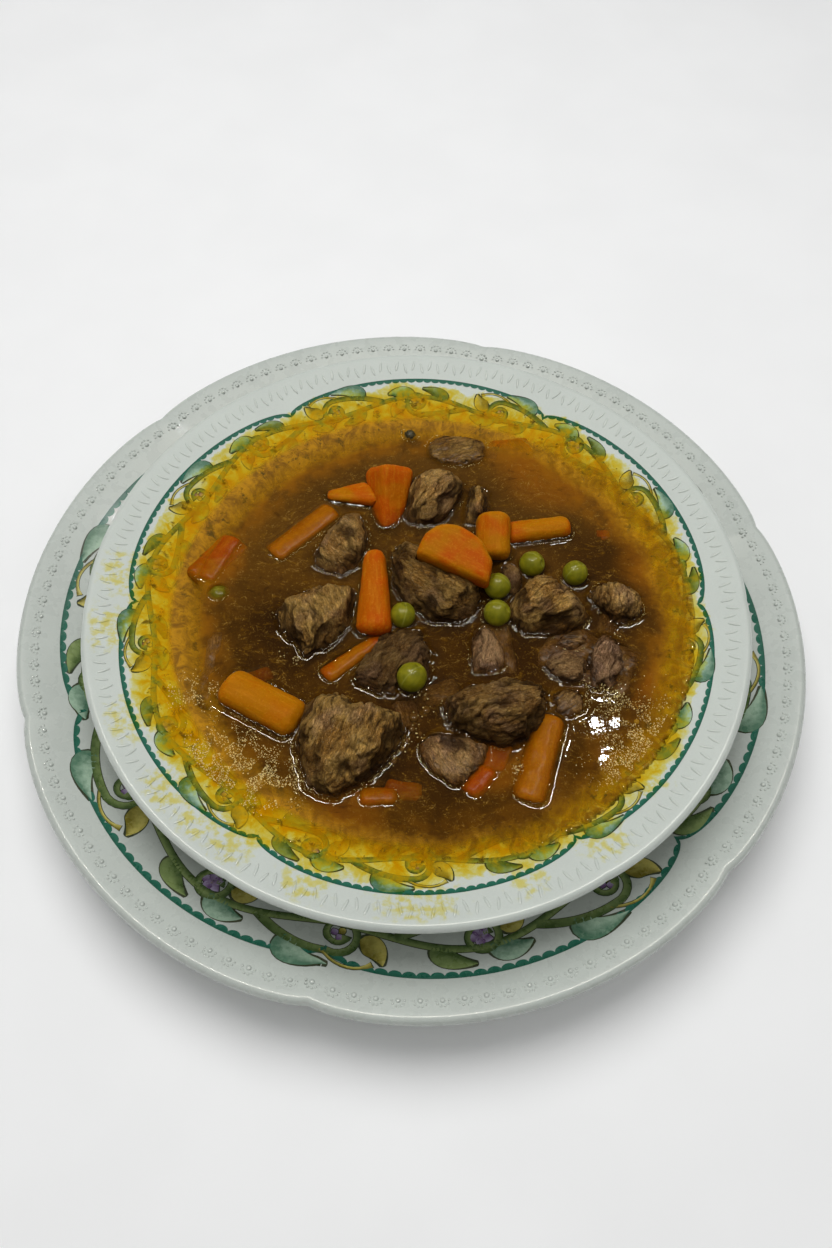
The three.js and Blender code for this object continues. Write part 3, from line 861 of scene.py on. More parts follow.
def gravy(standing, lying):
    """The gravy: one closed body with a fine surface that climbs a little at each piece."""
    centre = SOUP_PLATE.centre
    width = 2 * (GRAVY_R + 2)
    spacing = width / GRAVY_CELLS
    piece = primitive(
        bpy.ops.mesh.primitive_grid_add, "gravy_body", x_subdivisions=GRAVY_CELLS, y_subdivisions=GRAVY_CELLS,
        size=width * MM, location=(centre.x * MM, centre.y * MM, LEVEL * MM),
    )

    def off_centre(vertex):
        return (vertex.co / MM - centre).xy

    def near_food(face, reach):
        middle = face.calc_center_median() / MM
        return standing.nearest(middle.x, middle.y, reach)[0] < reach

    def cut_round(shape):
        corners = [vertex for vertex in shape.verts if off_centre(vertex).length > GRAVY_R + spacing * 0.7]
        bmesh.ops.delete(shape, geom=corners, context="VERTS")
        for reach in FINER_NEAR:
            close = [face for face in shape.faces if near_food(face, reach)]
            edges = {edge for face in close for edge in face.edges}
            bmesh.ops.subdivide_edges(shape, edges=list(edges), cuts=1, use_grid_fill=True)
        for vertex in shape.verts:
            off = off_centre(vertex)
            if off.length > GRAVY_R - 0.2 * spacing:
                off = off.normalized() * GRAVY_R
                vertex.co.x = (centre.x + off.x) * MM
                vertex.co.y = (centre.y + off.y) * MM

    rework(piece, cut_round)
    painted_shade = []
    cover = []
    brink = []
    for vertex in piece.data.vertices:
        x, y = vertex.co.x / MM, vertex.co.y / MM
        gap, away, rise = standing.nearest(x, y, 8)
        swell = 0.012 * noise.noise(Vector((x * 0.06, y * 0.06, 3)))
        edge = smoothstep(math.dist((x, y), centre.xy), GRAVY_R - 0.3, GRAVY_R - 3)
        rise = max(0, rise)
        tall = min(1, rise / TALL)
        height = CLIMB[0] + (CLIMB[1] - CLIMB[0]) * tall
        fall = CLIMB_REACH[0] + (CLIMB_REACH[1] - CLIMB_REACH[0]) * tall
        climb = smoothstep(rise, 0, 0.3) * height * math.exp(-gap / fall)
        inside = standing.top(x, y)
        if inside > LEVEL - 0.1:
            climb = min(climb, inside - 0.3 - LEVEL)
        vertex.co.z = (LEVEL + (climb + swell) * edge) * MM
        # Painted shadow and reflection round each standing piece, most on its front side, fading with the
        # gap.
        front = 0.55 - 0.45 * away.y
        painted_shade.append(min(1, rise / 2.5) * front * math.exp(-gap / (1.2 + 0.35 * min(8, rise))))
        cover.append(lying.under(x, y))
        line = fall * math.log(height / (fall * GLEAM_SLOPE))
        brink.append(bell(gap, line, BRINK_WIDTH))
    attribute(piece, "near_food", painted_shade)
    attribute(piece, "cover", cover)
    attribute(piece, "brink", brink)

    bpy.ops.object.mode_set(mode="EDIT")
    bpy.ops.mesh.select_mode(type="EDGE")
    bpy.ops.mesh.select_all(action="DESELECT")
    bpy.ops.mesh.select_non_manifold()
    here = (GRAVY_R, LEVEL)
    for radius, height in BED:
        bpy.ops.mesh.extrude_region_move(TRANSFORM_OT_translate={"value": (0, 0, (height - here[1]) * MM)})
        size = radius / here[0]
        middle = (centre.x * MM, centre.y * MM, height * MM)
        bpy.ops.transform.resize(value=(size, size, 1), center_override=middle)
        here = (radius, height)
    bpy.ops.mesh.edge_face_add()
    bpy.ops.object.mode_set(mode="OBJECT")
    attribute(piece, "bed", [float(vertex.co.z / MM < LEVEL - 1) for vertex in piece.data.vertices])
    smooth(piece)
    return piece


# Where fine froth has gathered: plan middle and reach
FROTH_PATCHES = [
    (-55, -60, 17), (-42, -66, 12), (73, -50, 15), (62, -38, 8), (66, -62, 10), (-68, -36, 8), (33, -62, 3),
    (-39, -24, 3), (-43, -42, 3), (-36, -47, 3),
]
FROTH_COUNT = 13  # domes tried in a patch, times its reach squared
FROTH_LIMIT = 89  # no bubbles further out from the plate's middle
FROTH_STRUNG = 3  # how far from a piece its string of bubbles may be
# Single larger bubbles: plan middle and radius
BUBBLES = [
    (1, -45, 1.5), (5, -42.5, 1.3), (0.5, -49, 1.0), (3, -50.5, 0.8), (-1, -53, 0.9), (-2.5, -56, 0.8),
    (-5, -60, 0.9), (3.5, -36, 0.8), (2.8, -33, 0.7), (4.5, -38.5, 0.7), (24, -25, 0.8), (50, -21, 0.7),
    (58, -10, 0.9), (68, -14, 0.8), (-62, -52, 0.9), (-50, -63, 0.8), (71, -46, 0.9), (79, -41, 0.7),
]


def bubbles(standing, surface):
    """Small domes of fat and air: thick in the frothy patches, and strung along the fronts of pieces."""
    centre = SOUP_PLATE.centre
    fine = []
    single = []

    def drop(places, x, y, radius, flat, glint):
        if math.dist((x, y), centre.xy) > FROTH_LIMIT or standing.nearest(x, y, 12)[0] < radius:
            return
        top = surface.tree.ray_cast(Vector((x, y, LEVEL + 5)), Vector((0, 0, -1)))[0]
        if top is None:
            return
        size = Matrix.Diagonal((radius, radius, radius * flat, 1))
        place = Matrix.Translation(Vector((x, y, top.z - 0.1 * radius)) * MM) @ size
        # A share of the domes, set by glint, are pale cream: painted glints.
        places.append((place, 1.0 if random.random() < glint else 0.0))

    for x, y, radius in BUBBLES:
        drop(single, x, y, radius, 0.7, 0.0)
        for _ in range(5):
            angle = random.uniform(0, math.tau)
            away = radius * random.uniform(1.0, 1.9)
            beside = (x + away * math.cos(angle), y + away * math.sin(angle))
            drop(fine, *beside, random.uniform(0.12, 0.3), 0.5, 0.8)
    for x, y, reach in FROTH_PATCHES:
        for _ in range(int(FROTH_COUNT * reach * reach) + 12):
            spot = (random.gauss(x, reach * 0.55), random.gauss(y, reach * 0.4))
            if noise.noise(Vector((*spot, 5)) * 0.22) > -0.12:
                drop(fine, *spot, 0.08 + 0.18 * random.random() ** 2.5, 0.5, 0.65)
    for vertex in surface.brim:
        gap, away, rise = standing.nearest(vertex.x, vertex.y, FROTH_STRUNG)
        strung = noise.noise(Vector((vertex.x, vertex.y, 1)) * 0.11) - 0.35 * away.y
        if 0.9 < gap < 1.5 and rise > 0.3 and strung > 0.1 and random.random() < 0.35:
            drop(fine, vertex.x, vertex.y, random.uniform(0.08, 0.17), 0.5, 0.8)
    pieces = []
    for name, detail, places in (("froth", 1, fine), ("fat_bubbles", 3, single)):
        dome = primitive(bpy.ops.mesh.primitive_ico_sphere_add, "dome", subdivisions=detail, radius=MM)
        piece = repeated(name, dome, [place for place, _ in places])
        each = len(piece.data.vertices) // len(places)
        attribute(piece, "painted_glint", [painted_glint for _, painted_glint in places for _ in range(each)])
        pieces.append(piece)
    return pieces


# ---------------------------------------------------------------- materials

def feed(tree, socket, value):
    """Links another node's output to a socket, or sets the socket."""
    if isinstance(value, bpy.types.NodeSocket):
        tree.links.new(value, socket)
    else:
        socket.default_value = value


class Nodes:
    """Short names for the nodes of one material or group."""

    def __init__(self, tree):
        self.tree = tree

    def node(self, kind, inputs=(), **settings):
        node = self.tree.nodes.new("ShaderNode" + kind)
        for name, value in settings.items():
            setattr(node, name, value)
        for name, value in dict(inputs).items():
            feed(self.tree, node.inputs[name], value)
        return node

    def add(self, kind, inputs=(), output=0, **settings):
        return self.node(kind, inputs, **settings).outputs[output]

    def math(self, operation, *values, clamp=False):
        return self.add("Math", dict(enumerate(values)), operation=operation, use_clamp=clamp)

    def plus(self, a, b, clamp=False):
        return self.math("ADD", a, b, clamp=clamp)

    def minus(self, a, b, clamp=False):
        return self.math("SUBTRACT", a, b, clamp=clamp)

    def times(self, a, b, clamp=False):
        return self.math("MULTIPLY", a, b, clamp=clamp)

    def scaled(self, a, by, rest):
        """a times by, plus rest."""
        return self.math("MULTIPLY_ADD", a, by, rest)

    def from_half(self, value):
        """How far a noise is from its middle, small along fine lines."""
        return self.math("ABSOLUTE", self.minus(value, 0.5))

    def vector(self, operation, *values, output=0):
        return self.add("VectorMath", dict(enumerate(values)), output, operation=operation)

    def lengthened(self, vector, scale):
        return self.add("VectorMath", {0: vector, "Scale": scale}, operation="SCALE")

    def part(self, vector, axis):
        return self.add("SeparateXYZ", {0: vector}, axis)

    def grey(self, tone):
        return self.add("CombineColor", {0: tone, 1: tone, 2: tone})

    def span(self, value, low, high, start=0.0, end=1.0, smooth_ends=True):
        """Value from low..high to start..end."""
        kind = "SMOOTHSTEP" if smooth_ends else "LINEAR"
        inputs = {"Value": value, "From Min": low, "From Max": high, "To Min": start, "To Max": end}
        return self.add("MapRange", inputs, interpolation_type=kind)

    def between(self, share, a, b):
        """A number from a to b."""
        return self.add("Mix", {0: share, 2: a, 3: b})

    def mix(self, share, a, b, blend="MIX"):
        """A colour from a to b."""
        return self.add("Mix", {0: share, 6: a, 7: b}, 2, data_type="RGBA", blend_type=blend)

    def paint(self, base, *layers):
        """Screen colours laid over a base in turn, each by its share."""
        color = srgb(*base)
        for share, over in layers:
            color = self.mix(share, color, srgb(*over))
        return color

    def noise(self, where, scale, detail=3.0, rough=0.5, bend=0.0):
        inputs = {"Vector": where, "Scale": scale, "Detail": detail, "Roughness": rough, "Distortion": bend}
        return self.add("TexNoise", inputs)

    def named(self, name, output="Fac"):
        """A piece's own attribute."""
        return self.add("Attribute", output=output, attribute_name=name)

    def place(self):
        """Object coordinates in millimetres."""
        return self.lengthened(self.add("TexCoord", output="Object"), 1 / MM)

    def over_plate(self):
        """The way from the soup plate's middle, the same laid flat, and how long that is."""
        off = self.vector("SUBTRACT", self.place(), tuple(SOUP_PLATE.centre))
        flat = self.vector("MULTIPLY", off, (1, 1, 0))
        return off, flat, self.vector("LENGTH", flat, output="Value")

    def bump(self, height, depth):
        """A relief of depth millimetres."""
        return self.add("Bump", {"Height": height, "Distance": depth * MM, "Strength": 1.0})

    def grouped(self, group, inputs):
        return self.node("Group", inputs, node_tree=group).outputs


def srgb(red, green, blue):
    """A colour from its screen values, 0 to 255."""
    def linear(value):
        value /= 255
        return value / 12.92 if value <= 0.04045 else ((value + 0.055) / 1.055) ** 2.4
    return (linear(red), linear(green), linear(blue), 1)


def new_material(name):
    material = bpy.data.materials.new(name)
    material.use_nodes = True
    tree = material.node_tree
    tree.nodes.clear()
    out = tree.nodes.new("ShaderNodeOutputMaterial")
    surface = tree.nodes.new("ShaderNodeBsdfPrincipled")
    tree.links.new(surface.outputs[0], out.inputs["Surface"])

    def finish(**sockets):
        for name, value in sockets.items():
            feed(tree, surface.inputs[name.replace("_", " ")], value)
        return material

    return Nodes(tree), finish


def new_group(name, inputs, outputs):
    """An empty node group with named sockets: kind is Float, Color or Vector."""
    group = bpy.data.node_groups.new(name, "ShaderNodeTree")
    for way, sockets in (("INPUT", inputs), ("OUTPUT", outputs)):
        for title, kind in sockets.items():
            group.interface.new_socket(name=title, in_out=way, socket_type="NodeSocket" + kind)
    source = group.nodes.new("NodeGroupInput")
    sink = group.nodes.new("NodeGroupOutput")

    def give(**values):
        for title, value in values.items():
            group.links.new(value, sink.inputs[title.replace("_", " ")])
        return group

    return Nodes(group), source.outputs, give


def near_any(nodes, spots):
    """1 near any of the spots, 0 away from all of them."""
    flat = nodes.vector("MULTIPLY", nodes.place(), (1, 1, 0))
    nearest = 0.0
    for x, y, reach in spots:
        away = nodes.vector("DISTANCE", flat, (x, y, 0), output="Value")
        nearest = nodes.math("MAXIMUM", nearest, nodes.span(away, reach, reach * 0.3))
    return nearest


CHINA = (0.565, 0.604, 0.556, 1)
OIL_EDGE = 96.5  # how far out from the soup plate's middle the oil stands
OIL_DEPTH = 2.7  # how thick it is where it is deepest
OIL_DEPTH_AT_EDGE = 0.35
OIL_TINT = (0.03, 0.27, 1.9)  # what a millimetre of oil takes from red, green and blue
# Splashes on the border: plan place and reach
SPLASHES = [
    (2, -101, 19), (-30, -98, 12), (-96, 8, 14), (-98, -14, 14), (-86, -46, 14), (-72, -70, 14),
    (-62, -79, 12), (-52, -86, 12), (57, -84, 12), (34, -96, 10), (74, -66, 8),
]


def oil_stain_group():
    """Tints a colour by the oil that lies over it, and by the splashes beyond its edge."""
    nodes, given, give = new_group("oil stain", {"Color": "Color"}, {"Color": "Color", "Bare": "Float"})
    _, flat, radius = nodes.over_plate()
    wobble = nodes.minus(nodes.noise(flat, 0.07, 4, 0.6), 0.5)
    fine = nodes.minus(nodes.noise(flat, 0.45, 3, 0.65), 0.5)
    edge = nodes.scaled(fine, 4.0, nodes.scaled(wobble, 13.0, OIL_EDGE))
    inside = nodes.minus(edge, radius)
    pool = nodes.times(nodes.span(inside, 0, 9, 0.0, 1.0, False), OIL_DEPTH)
    pool = nodes.plus(pool, nodes.times(nodes.span(inside, 0, 1.2), OIL_DEPTH_AT_EDGE))
    mottle = nodes.span(nodes.noise(flat, 0.22, 4, 0.65, 0.6), 0.34, 0.66, 0.35, 1.4)
    mottle = nodes.between(nodes.span(inside, 3, 13, 0.0, 0.5), mottle, 1.0)  # evener further in
    pool = nodes.times(pool, mottle)
    reach = near_any(nodes, SPLASHES)
    spots = nodes.scaled(reach, 0.16, nodes.noise(flat, 0.36, 4, 0.55))
    splash = nodes.times(nodes.span(spots, 0.56, 0.8, 0.0, 0.7), nodes.span(radius, 109.0, 106))
    depth = nodes.plus(pool, nodes.times(splash, reach))
    upward = nodes.part(nodes.add("NewGeometry", output="Normal"), 2)
    depth = nodes.times(depth, nodes.span(upward, 0.0, 0.1))  # the underside stays clean
    takes = [nodes.math("EXPONENT", nodes.times(depth, -share)) for share in OIL_TINT]
    tint = nodes.add("CombineColor", dict(enumerate(takes)))
    hidden = nodes.mix(nodes.span(depth, 0.6, 2.8, 0.0, 0.7), given["Color"], CHINA)
    return give(Color=nodes.mix(1.0, hidden, tint, "MULTIPLY"), Bare=nodes.span(depth, 0.9, 0.2))


def glaze_group():
    """The faint unevenness of glaze: a tone, a roughness and a normal."""
    outputs = {"Color": "Color", "Roughness": "Float", "Normal": "Vector"}
    nodes, given, give = new_group("glaze", {"Color": "Color"}, outputs)
    place = nodes.place()
    cloud = nodes.span(nodes.noise(place, 0.05, 3), 0.3, 0.7, 0.975, 1.015)
    speck = nodes.span(nodes.noise(place, 1.6, 2, 0.7), 0.35, 0.65, -0.015, 0.015)
    rough = nodes.span(nodes.noise(place, 0.25, 3), 0.3, 0.7, 0.24, 0.34)
    normal = nodes.bump(nodes.noise(place, 0.32, 2), 0.05)
    color = nodes.mix(1.0, given["Color"], nodes.grey(nodes.plus(cloud, speck)), "MULTIPLY")
    return give(Color=color, Roughness=rough, Normal=normal)


def moist_group():
    """Food near the gravy's surface is browned and wetted by it."""
    nodes, given, give = new_group(
        "moist foot", {"Color": "Color", "Roughness": "Float", "Reach": "Float"},
        {"Color": "Color", "Roughness": "Float", "Wet": "Float"},
    )
    place = nodes.place()
    height = nodes.minus(nodes.part(place, 2), LEVEL)
    height = nodes.plus(height, nodes.scaled(nodes.noise(place, 0.5, 3), 2.4, -1.2))
    darkening = nodes.minus(1.0, nodes.math("DIVIDE", height, given["Reach"]), clamp=True)
    soaked = nodes.mix(darkening, (1, 1, 1, 1), (0.62, 0.5, 0.3, 1))
    color = nodes.mix(1.0, given["Color"], soaked, "MULTIPLY")
    rough = nodes.times(given["Roughness"], nodes.scaled(darkening, -0.45, 1.0))
    return give(Color=color, Roughness=rough, Wet=nodes.times(darkening, nodes.span(height, -0.6, 0.1)))


OIL_STAIN = oil_stain_group()
GLAZE = glaze_group()
MOIST = moist_group()


def glazed(nodes, finish, color, stained):
    """Finishes a material as glazed china, with the oil's stain where it has one."""
    glaze = nodes.grouped(GLAZE, {"Color": color})
    settings = {"Roughness": glaze["Roughness"], "Normal": glaze["Normal"]}
    if not stained:
        return finish(Base_Color=glaze["Color"], Coat_Weight=0.4, Coat_Roughness=0.1, **settings)
    stain = nodes.grouped(OIL_STAIN, {"Color": glaze["Color"]})
    return finish(
        Base_Color=stain["Color"], Specular_IOR_Level=0.03,
        Coat_Weight=stain["Bare"], Coat_Roughness=0.22, **settings,
    )


def china_material(name, painted_shade, stained):
    nodes, finish = new_material(name)
    # Values below 1 darken the china as painted shade.
    return glazed(nodes, finish, [painted_shade * share for share in CHINA[:3]] + [1], stained)


INKS = {
    "rim_green": [(25, 86, 68), (38, 104, 84)],
    "leaf_green": [(70, 92, 44), (128, 146, 88)],
    "leaf_blue": [(78, 116, 92), (158, 184, 160)],
    "leaf_olive": [(118, 108, 34), (196, 184, 96)],
    "petal": [(118, 84, 132), (180, 164, 198)],
    "outline": [(48, 56, 34), (66, 70, 48)],
}


def ink_material(ink, stained):
    """Painted colour under the glaze, washed darker along one side and at the stroke's foot."""
    dark, light = INKS[ink]
    nodes, finish = new_material(ink.replace("_", " ") + (" in oil" if stained else " paint"))
    across = nodes.span(nodes.named("across"), -1.0, 0.8)
    along = nodes.span(nodes.named("along"), 0.0, 0.7)
    wash = nodes.span(nodes.noise(nodes.place(), 0.5, 3, 0.6), 0.3, 0.7, -0.2, 0.2)
    share = nodes.plus(nodes.times(nodes.scaled(along, 0.5, 0.5), across), wash, clamp=True)
    return glazed(nodes, finish, nodes.paint(dark, (share, light)), stained)


BROWN_EDGE = (73, 80)  # where brown gives way to oil, out from the plate's middle
BROWN_LEAN = (0.06, -0.07, 0)  # a little further out at the front than at the back
BED_EDGE = (84, 81)  # where the gravy's bed turns from clear to thick
# Where the gravy is clearer and more orange, and where it is darkest: plan place and reach
ORANGE_GLOWS = [(50, 56, 26), (84, -34, 14), (28, -58, 16), (-66, 14, 12), (-20, -76, 16), (84, 14, 17)]
DARKER_PATCHES = [(20, -20, 46), (-40, -12, 22), (10, -66, 20), (66, -8, 22), (66, -34, 20), (66, 14, 20)]


def gravy_material():
    """Brown and thick in the well, thin yellow oil over the border, with droplets of fat."""
    nodes, finish = new_material("gravy")
    off, flat, radius = nodes.over_plate()
    sideways, depthways = nodes.part(off, 0), nodes.part(off, 1)
    far = nodes.span(depthways, -50, 60)
    wobble = nodes.scaled(nodes.noise(flat, 0.06, 4, 0.55), 10.0, -5.0)
    fine = nodes.scaled(nodes.noise(flat, 0.4, 4, 0.7), 5.0, -2.5)
    reach = nodes.plus(nodes.plus(radius, wobble), fine)
    reach = nodes.minus(reach, nodes.vector("DOT_PRODUCT", off, BROWN_LEAN, output="Value"))
    ring = nodes.span(reach, *BROWN_EDGE)

    cloud = nodes.span(nodes.noise(flat, 0.035, 4, 0.6, 0.8), 0.32, 0.68)
    darker_patch = near_any(nodes, DARKER_PATCHES)
    orange = nodes.times(near_any(nodes, ORANGE_GLOWS), nodes.span(cloud, 0.0, 1.0, 0.5, 0.9))
    swirl = nodes.lengthened(nodes.add("TexNoise", {"Vector": flat, "Scale": 0.03, "Detail": 2.0}, 1), 22.0)
    drawn = nodes.vector("MULTIPLY", nodes.vector("ADD", flat, swirl), (0.75, 1.3, 1))
    streak = nodes.noise(drawn, 0.3, 6, 0.75, 0.6)
    drops = nodes.span(nodes.add("TexVoronoi", {"Vector": flat, "Scale": 0.62}), 0.2, 0.1, 0.0, 0.5)
    drops = nodes.times(drops, nodes.span(nodes.noise(flat, 0.08, 2), 0.45, 0.65))
    thread = nodes.span(nodes.from_half(nodes.noise(flat, 0.16, 3, 0.6, 1.5)), 0.012, 0.002)
    speck = nodes.noise(flat, 1.5, 3, 0.7)
    amber = nodes.span(nodes.noise(flat, 0.12, 4, 0.6), 0.35, 0.6, 0.15, 0.8)
    amber = nodes.times(nodes.times(nodes.span(reach, 64, 76), amber), nodes.scaled(darker_patch, -0.6, 1.0))
    brown = nodes.paint(
        (52, 28, 0),
        (cloud, (86, 53, 6)),
        (nodes.times(far, 0.6), (96, 63, 16)),
        # darker brown in the patches listed above
        (nodes.times(darker_patch, 0.6), (44, 22, 0)),
        (orange, (136, 78, 6)),
        (nodes.span(streak, 0.52, 0.7, 0.0, 0.55), (126, 86, 14)),
        (nodes.span(streak, 0.46, 0.32, 0.0, 0.5), (44, 23, 1)),
        (drops, (150, 106, 26)),
        (nodes.times(thread, nodes.span(streak, 0.45, 0.6, 0.0, 0.5)), (176, 136, 60)),
        (nodes.span(speck, 0.6, 0.72, 0.0, 0.5), (150, 112, 40)),
        (nodes.times(amber, nodes.span(depthways, -66, -40, 0.35, 1.0)), (140, 86, 6)),
        # painted shadow and dark reflection round the standing pieces
        (nodes.times(nodes.named("near_food"), 0.95, clamp=True), (22, 10, 1)),
    )

    mottle = nodes.span(nodes.noise(flat, 0.2, 6, 0.75, 1.0), 0.36, 0.64)
    fleck = nodes.span(nodes.noise(flat, 0.24, 5, 0.72, 0.4), 0.57, 0.66)
    oil = nodes.paint((190, 134, 10), (mottle, (126, 84, 6)), (fleck, (88, 66, 8)))
    clearness = nodes.span(far, 0.0, 1.0, -0.65, -1.1, False)
    deep = nodes.math("EXPONENT", nodes.times(nodes.named("cover"), clearness))
    deep = nodes.minus(1.0, nodes.times(deep, 0.88))
    thick = nodes.minus(reach, nodes.span(sideways, 10, 80, 0.0, 9.0))
    film = nodes.span(thick, 73, 85, 0.9, 0.0)
    film = nodes.times(film, nodes.span(mottle, 0.0, 1.0, 0.4, 1.0), clamp=True)
    film = nodes.math("MAXIMUM", film, nodes.times(fleck, 0.65))
    back = nodes.add("NewGeometry", output="Backfacing")
    thick_bed = nodes.times(nodes.named("bed"), nodes.span(radius, *BED_EDGE))
    # Seen from inside only the well's bed is thick, so that light passes the surface
    alpha = nodes.between(back, nodes.between(ring, deep, film), thick_bed)

    brink = nodes.named("brink")
    ripples = nodes.noise(flat, 0.4, 2, 0.5)
    crinkle = nodes.times(brink, nodes.noise(flat, 1.6, 2, 0.5))
    rough = nodes.span(nodes.noise(flat, 0.15, 3), 0.3, 0.7, 0.012, 0.022)
    dull = nodes.times(brink, nodes.span(nodes.noise(flat, 0.7, 3, 0.6), 0.39, 0.48))
    return finish(
        Base_Color=nodes.mix(ring, brown, oil), Roughness=nodes.between(back, rough, 0.85),
        Alpha=alpha, IOR=1.4, Specular_IOR_Level=nodes.scaled(dull, -0.45, 0.5),
        Normal=nodes.bump(nodes.scaled(crinkle, 2.0, ripples), 0.012),
    )


def moistened(nodes, finish, color, rough, reach, wet_coat=None, **sockets):
    """Finishes a material as food that is brown and wet near the gravy, with a coat there if asked."""
    foot = nodes.grouped(MOIST, {"Color": color, "Roughness": rough, "Reach": reach})
    if wet_coat:
        sockets["Coat_Weight"] = nodes.times(foot["Wet"], wet_coat)
    return finish(Base_Color=foot["Color"], Roughness=foot["Roughness"], **sockets)


def beef_material():
    """Stewed beef: grey brown with paler strands and a lilac cast in places, painted darker as shade in its
    creases, folds and fissures and on its steep sides.
    """
    nodes, finish = new_material("stewed beef")
    place = nodes.place()
    grain = nodes.named("grain", "Vector")
    strung = nodes.vector("MULTIPLY", grain, (0.2, 1, 1))

    def strung_noise(shift, *settings):
        return nodes.noise(nodes.vector("ADD", strung, shift), *settings)

    patch = nodes.span(nodes.noise(place, 0.14, 3), 0.35, 0.65)
    lilac = nodes.span(nodes.noise(nodes.vector("ADD", place, (31, 7, 5)), 0.11, 2), 0.5, 0.7, 0.0, 0.45)
    lilac = nodes.plus(lilac, nodes.named("lilac"), clamp=True)
    strands = nodes.noise(strung, 1.15, 5, 0.75, 0.5)
    flecks = strung_noise((4, 17, 2), 2.3, 3, 0.7)
    fissures = nodes.span(nodes.from_half(nodes.noise(strung, 1.7, 4, 0.65, 0.8)), 0.0, 0.03, 0.6, 0.0)
    grit = nodes.noise(place, 1.7, 4, 0.7)
    folds = nodes.from_half(nodes.noise(nodes.vector("MULTIPLY", grain, (0.7, 1, 1)), 0.36, 4, 0.6, 1.6))
    wrinkles = nodes.from_half(strung_noise((9, 3, 1), 1.0, 4, 0.6, 1.2))
    wrinkles = nodes.span(wrinkles, 0.0, 0.07, 0.7, 0.0)
    folds = nodes.math("MAXIMUM", nodes.span(folds, 0.0, 0.055, 0.95, 0.0), wrinkles)
    folds = nodes.times(folds, nodes.span(patch, 0.0, 1.0, 1.0, 0.55))
    color = nodes.paint(
        (222, 161, 78),
        (patch, (248, 196, 106)),
        (lilac, (212, 166, 130)),
        (nodes.span(strands, 0.36, 0.5, 0.4, 0.0), (104, 68, 26)),
        (nodes.span(strands, 0.54, 0.7, 0.0, 0.6), (216, 182, 126)),
        (nodes.span(flecks, 0.56, 0.66, 0.0, 0.45), (240, 212, 156)),
        # painted shade: fissures and folds are darker, as in recesses
        (fissures, (74, 44, 12)),
        (nodes.span(grit, 0.38, 0.52, 0.2, 0.0), (104, 68, 28)),
        (nodes.times(folds, 0.6), (62, 36, 9)),
        # painted shade on the steep and front sides, and lower down partly soaking by the gravy
        (nodes.times(nodes.named("soaked"), 0.85), (80, 48, 10)),
        # painted shade in the creases
        (nodes.span(nodes.named("crease"), 0.3, 0.95, 0.0, 0.8), (42, 22, 4)),
        (nodes.minus(1.0, nodes.named("tone")), (46, 25, 3)),
    )
    rough = nodes.span(strands, 0.3, 0.7, 0.45, 0.65)
    relief = nodes.scaled(grit, 0.6, nodes.times(strands, 1.3))
    relief = nodes.scaled(nodes.plus(folds, fissures), -0.7, relief)
    return moistened(
        nodes, finish, color, rough, 1.8, wet_coat=0.5, Coat_Roughness=0.3, Specular_IOR_Level=0.09,
        Normal=nodes.bump(nodes.scaled(flecks, 0.7, relief), 0.7),
    )


def carrot_material():
    """Cooked carrot: red orange flesh, amber towards its core, grained along and finely speckled."""
    nodes, finish = new_material("cooked carrot")
    place = nodes.place()
    grain = nodes.named("grain", "Vector")
    streaks = nodes.noise(nodes.vector("MULTIPLY", grain, (0.15, 1, 1)), 0.8, 4, 0.6)
    patch = nodes.noise(place, 0.075, 3, 0.5)
    freckle = nodes.noise(place, 1.5, 3, 0.65)
    color = nodes.paint(
        (180, 80, 5),
        (nodes.plus(nodes.span(patch, 0.38, 0.58), nodes.named("amber"), clamp=True), (172, 106, 6)),
        (nodes.span(streaks, 0.45, 0.7, 0.0, 0.45), (196, 124, 22)),
        (nodes.span(freckle, 0.56, 0.72, 0.0, 0.4), (150, 66, 6)),
        (nodes.span(freckle, 0.44, 0.3, 0.0, 0.4), (208, 140, 40)),
    )
    rough = nodes.span(patch, 0.3, 0.7, 0.4, 0.5)
    return moistened(
        nodes, finish, color, rough, 2.6, wet_coat=0.2, Coat_Roughness=0.25, Specular_IOR_Level=0.03,
        Normal=nodes.bump(nodes.scaled(freckle, 0.9, nodes.times(streaks, 0.7)), 0.14),
        Subsurface_Weight=0.3, Subsurface_Radius=(1.0, 0.35, 0.1), Subsurface_Scale=2.5 * MM,
    )


def pea_material():
    nodes, finish = new_material("cooked pea")
    place = nodes.place()
    patch = nodes.noise(place, 0.35, 3)
    seam = nodes.span(nodes.named("seam"), 0.08, 0.02, 0.0, 0.45)
    color = nodes.paint((134, 128, 22), (nodes.span(patch, 0.3, 0.7), (110, 108, 16)), (seam, (156, 154, 66)))
    rough = nodes.span(patch, 0.3, 0.7, 0.3, 0.4)
    return moistened(
        nodes, finish, color, rough, 1.6, Coat_Weight=0.3, Coat_Roughness=0.15, Specular_IOR_Level=0.15,
        Normal=nodes.bump(nodes.noise(place, 1.2, 3), 0.05),
        Subsurface_Weight=0.2, Subsurface_Radius=(0.6, 0.8, 0.15), Subsurface_Scale=1.5 * MM,
    )


def pepper_material():
    nodes, finish = new_material("peppercorn")
    ridges = nodes.noise(nodes.place(), 1.6, 4)
    color = nodes.paint((30, 26, 12), (nodes.span(ridges, 0.35, 0.65), (70, 62, 30)))
    rough = nodes.span(ridges, 0.3, 0.7, 0.35, 0.6)
    return finish(Base_Color=color, Roughness=rough, Normal=nodes.bump(ridges, 0.1))


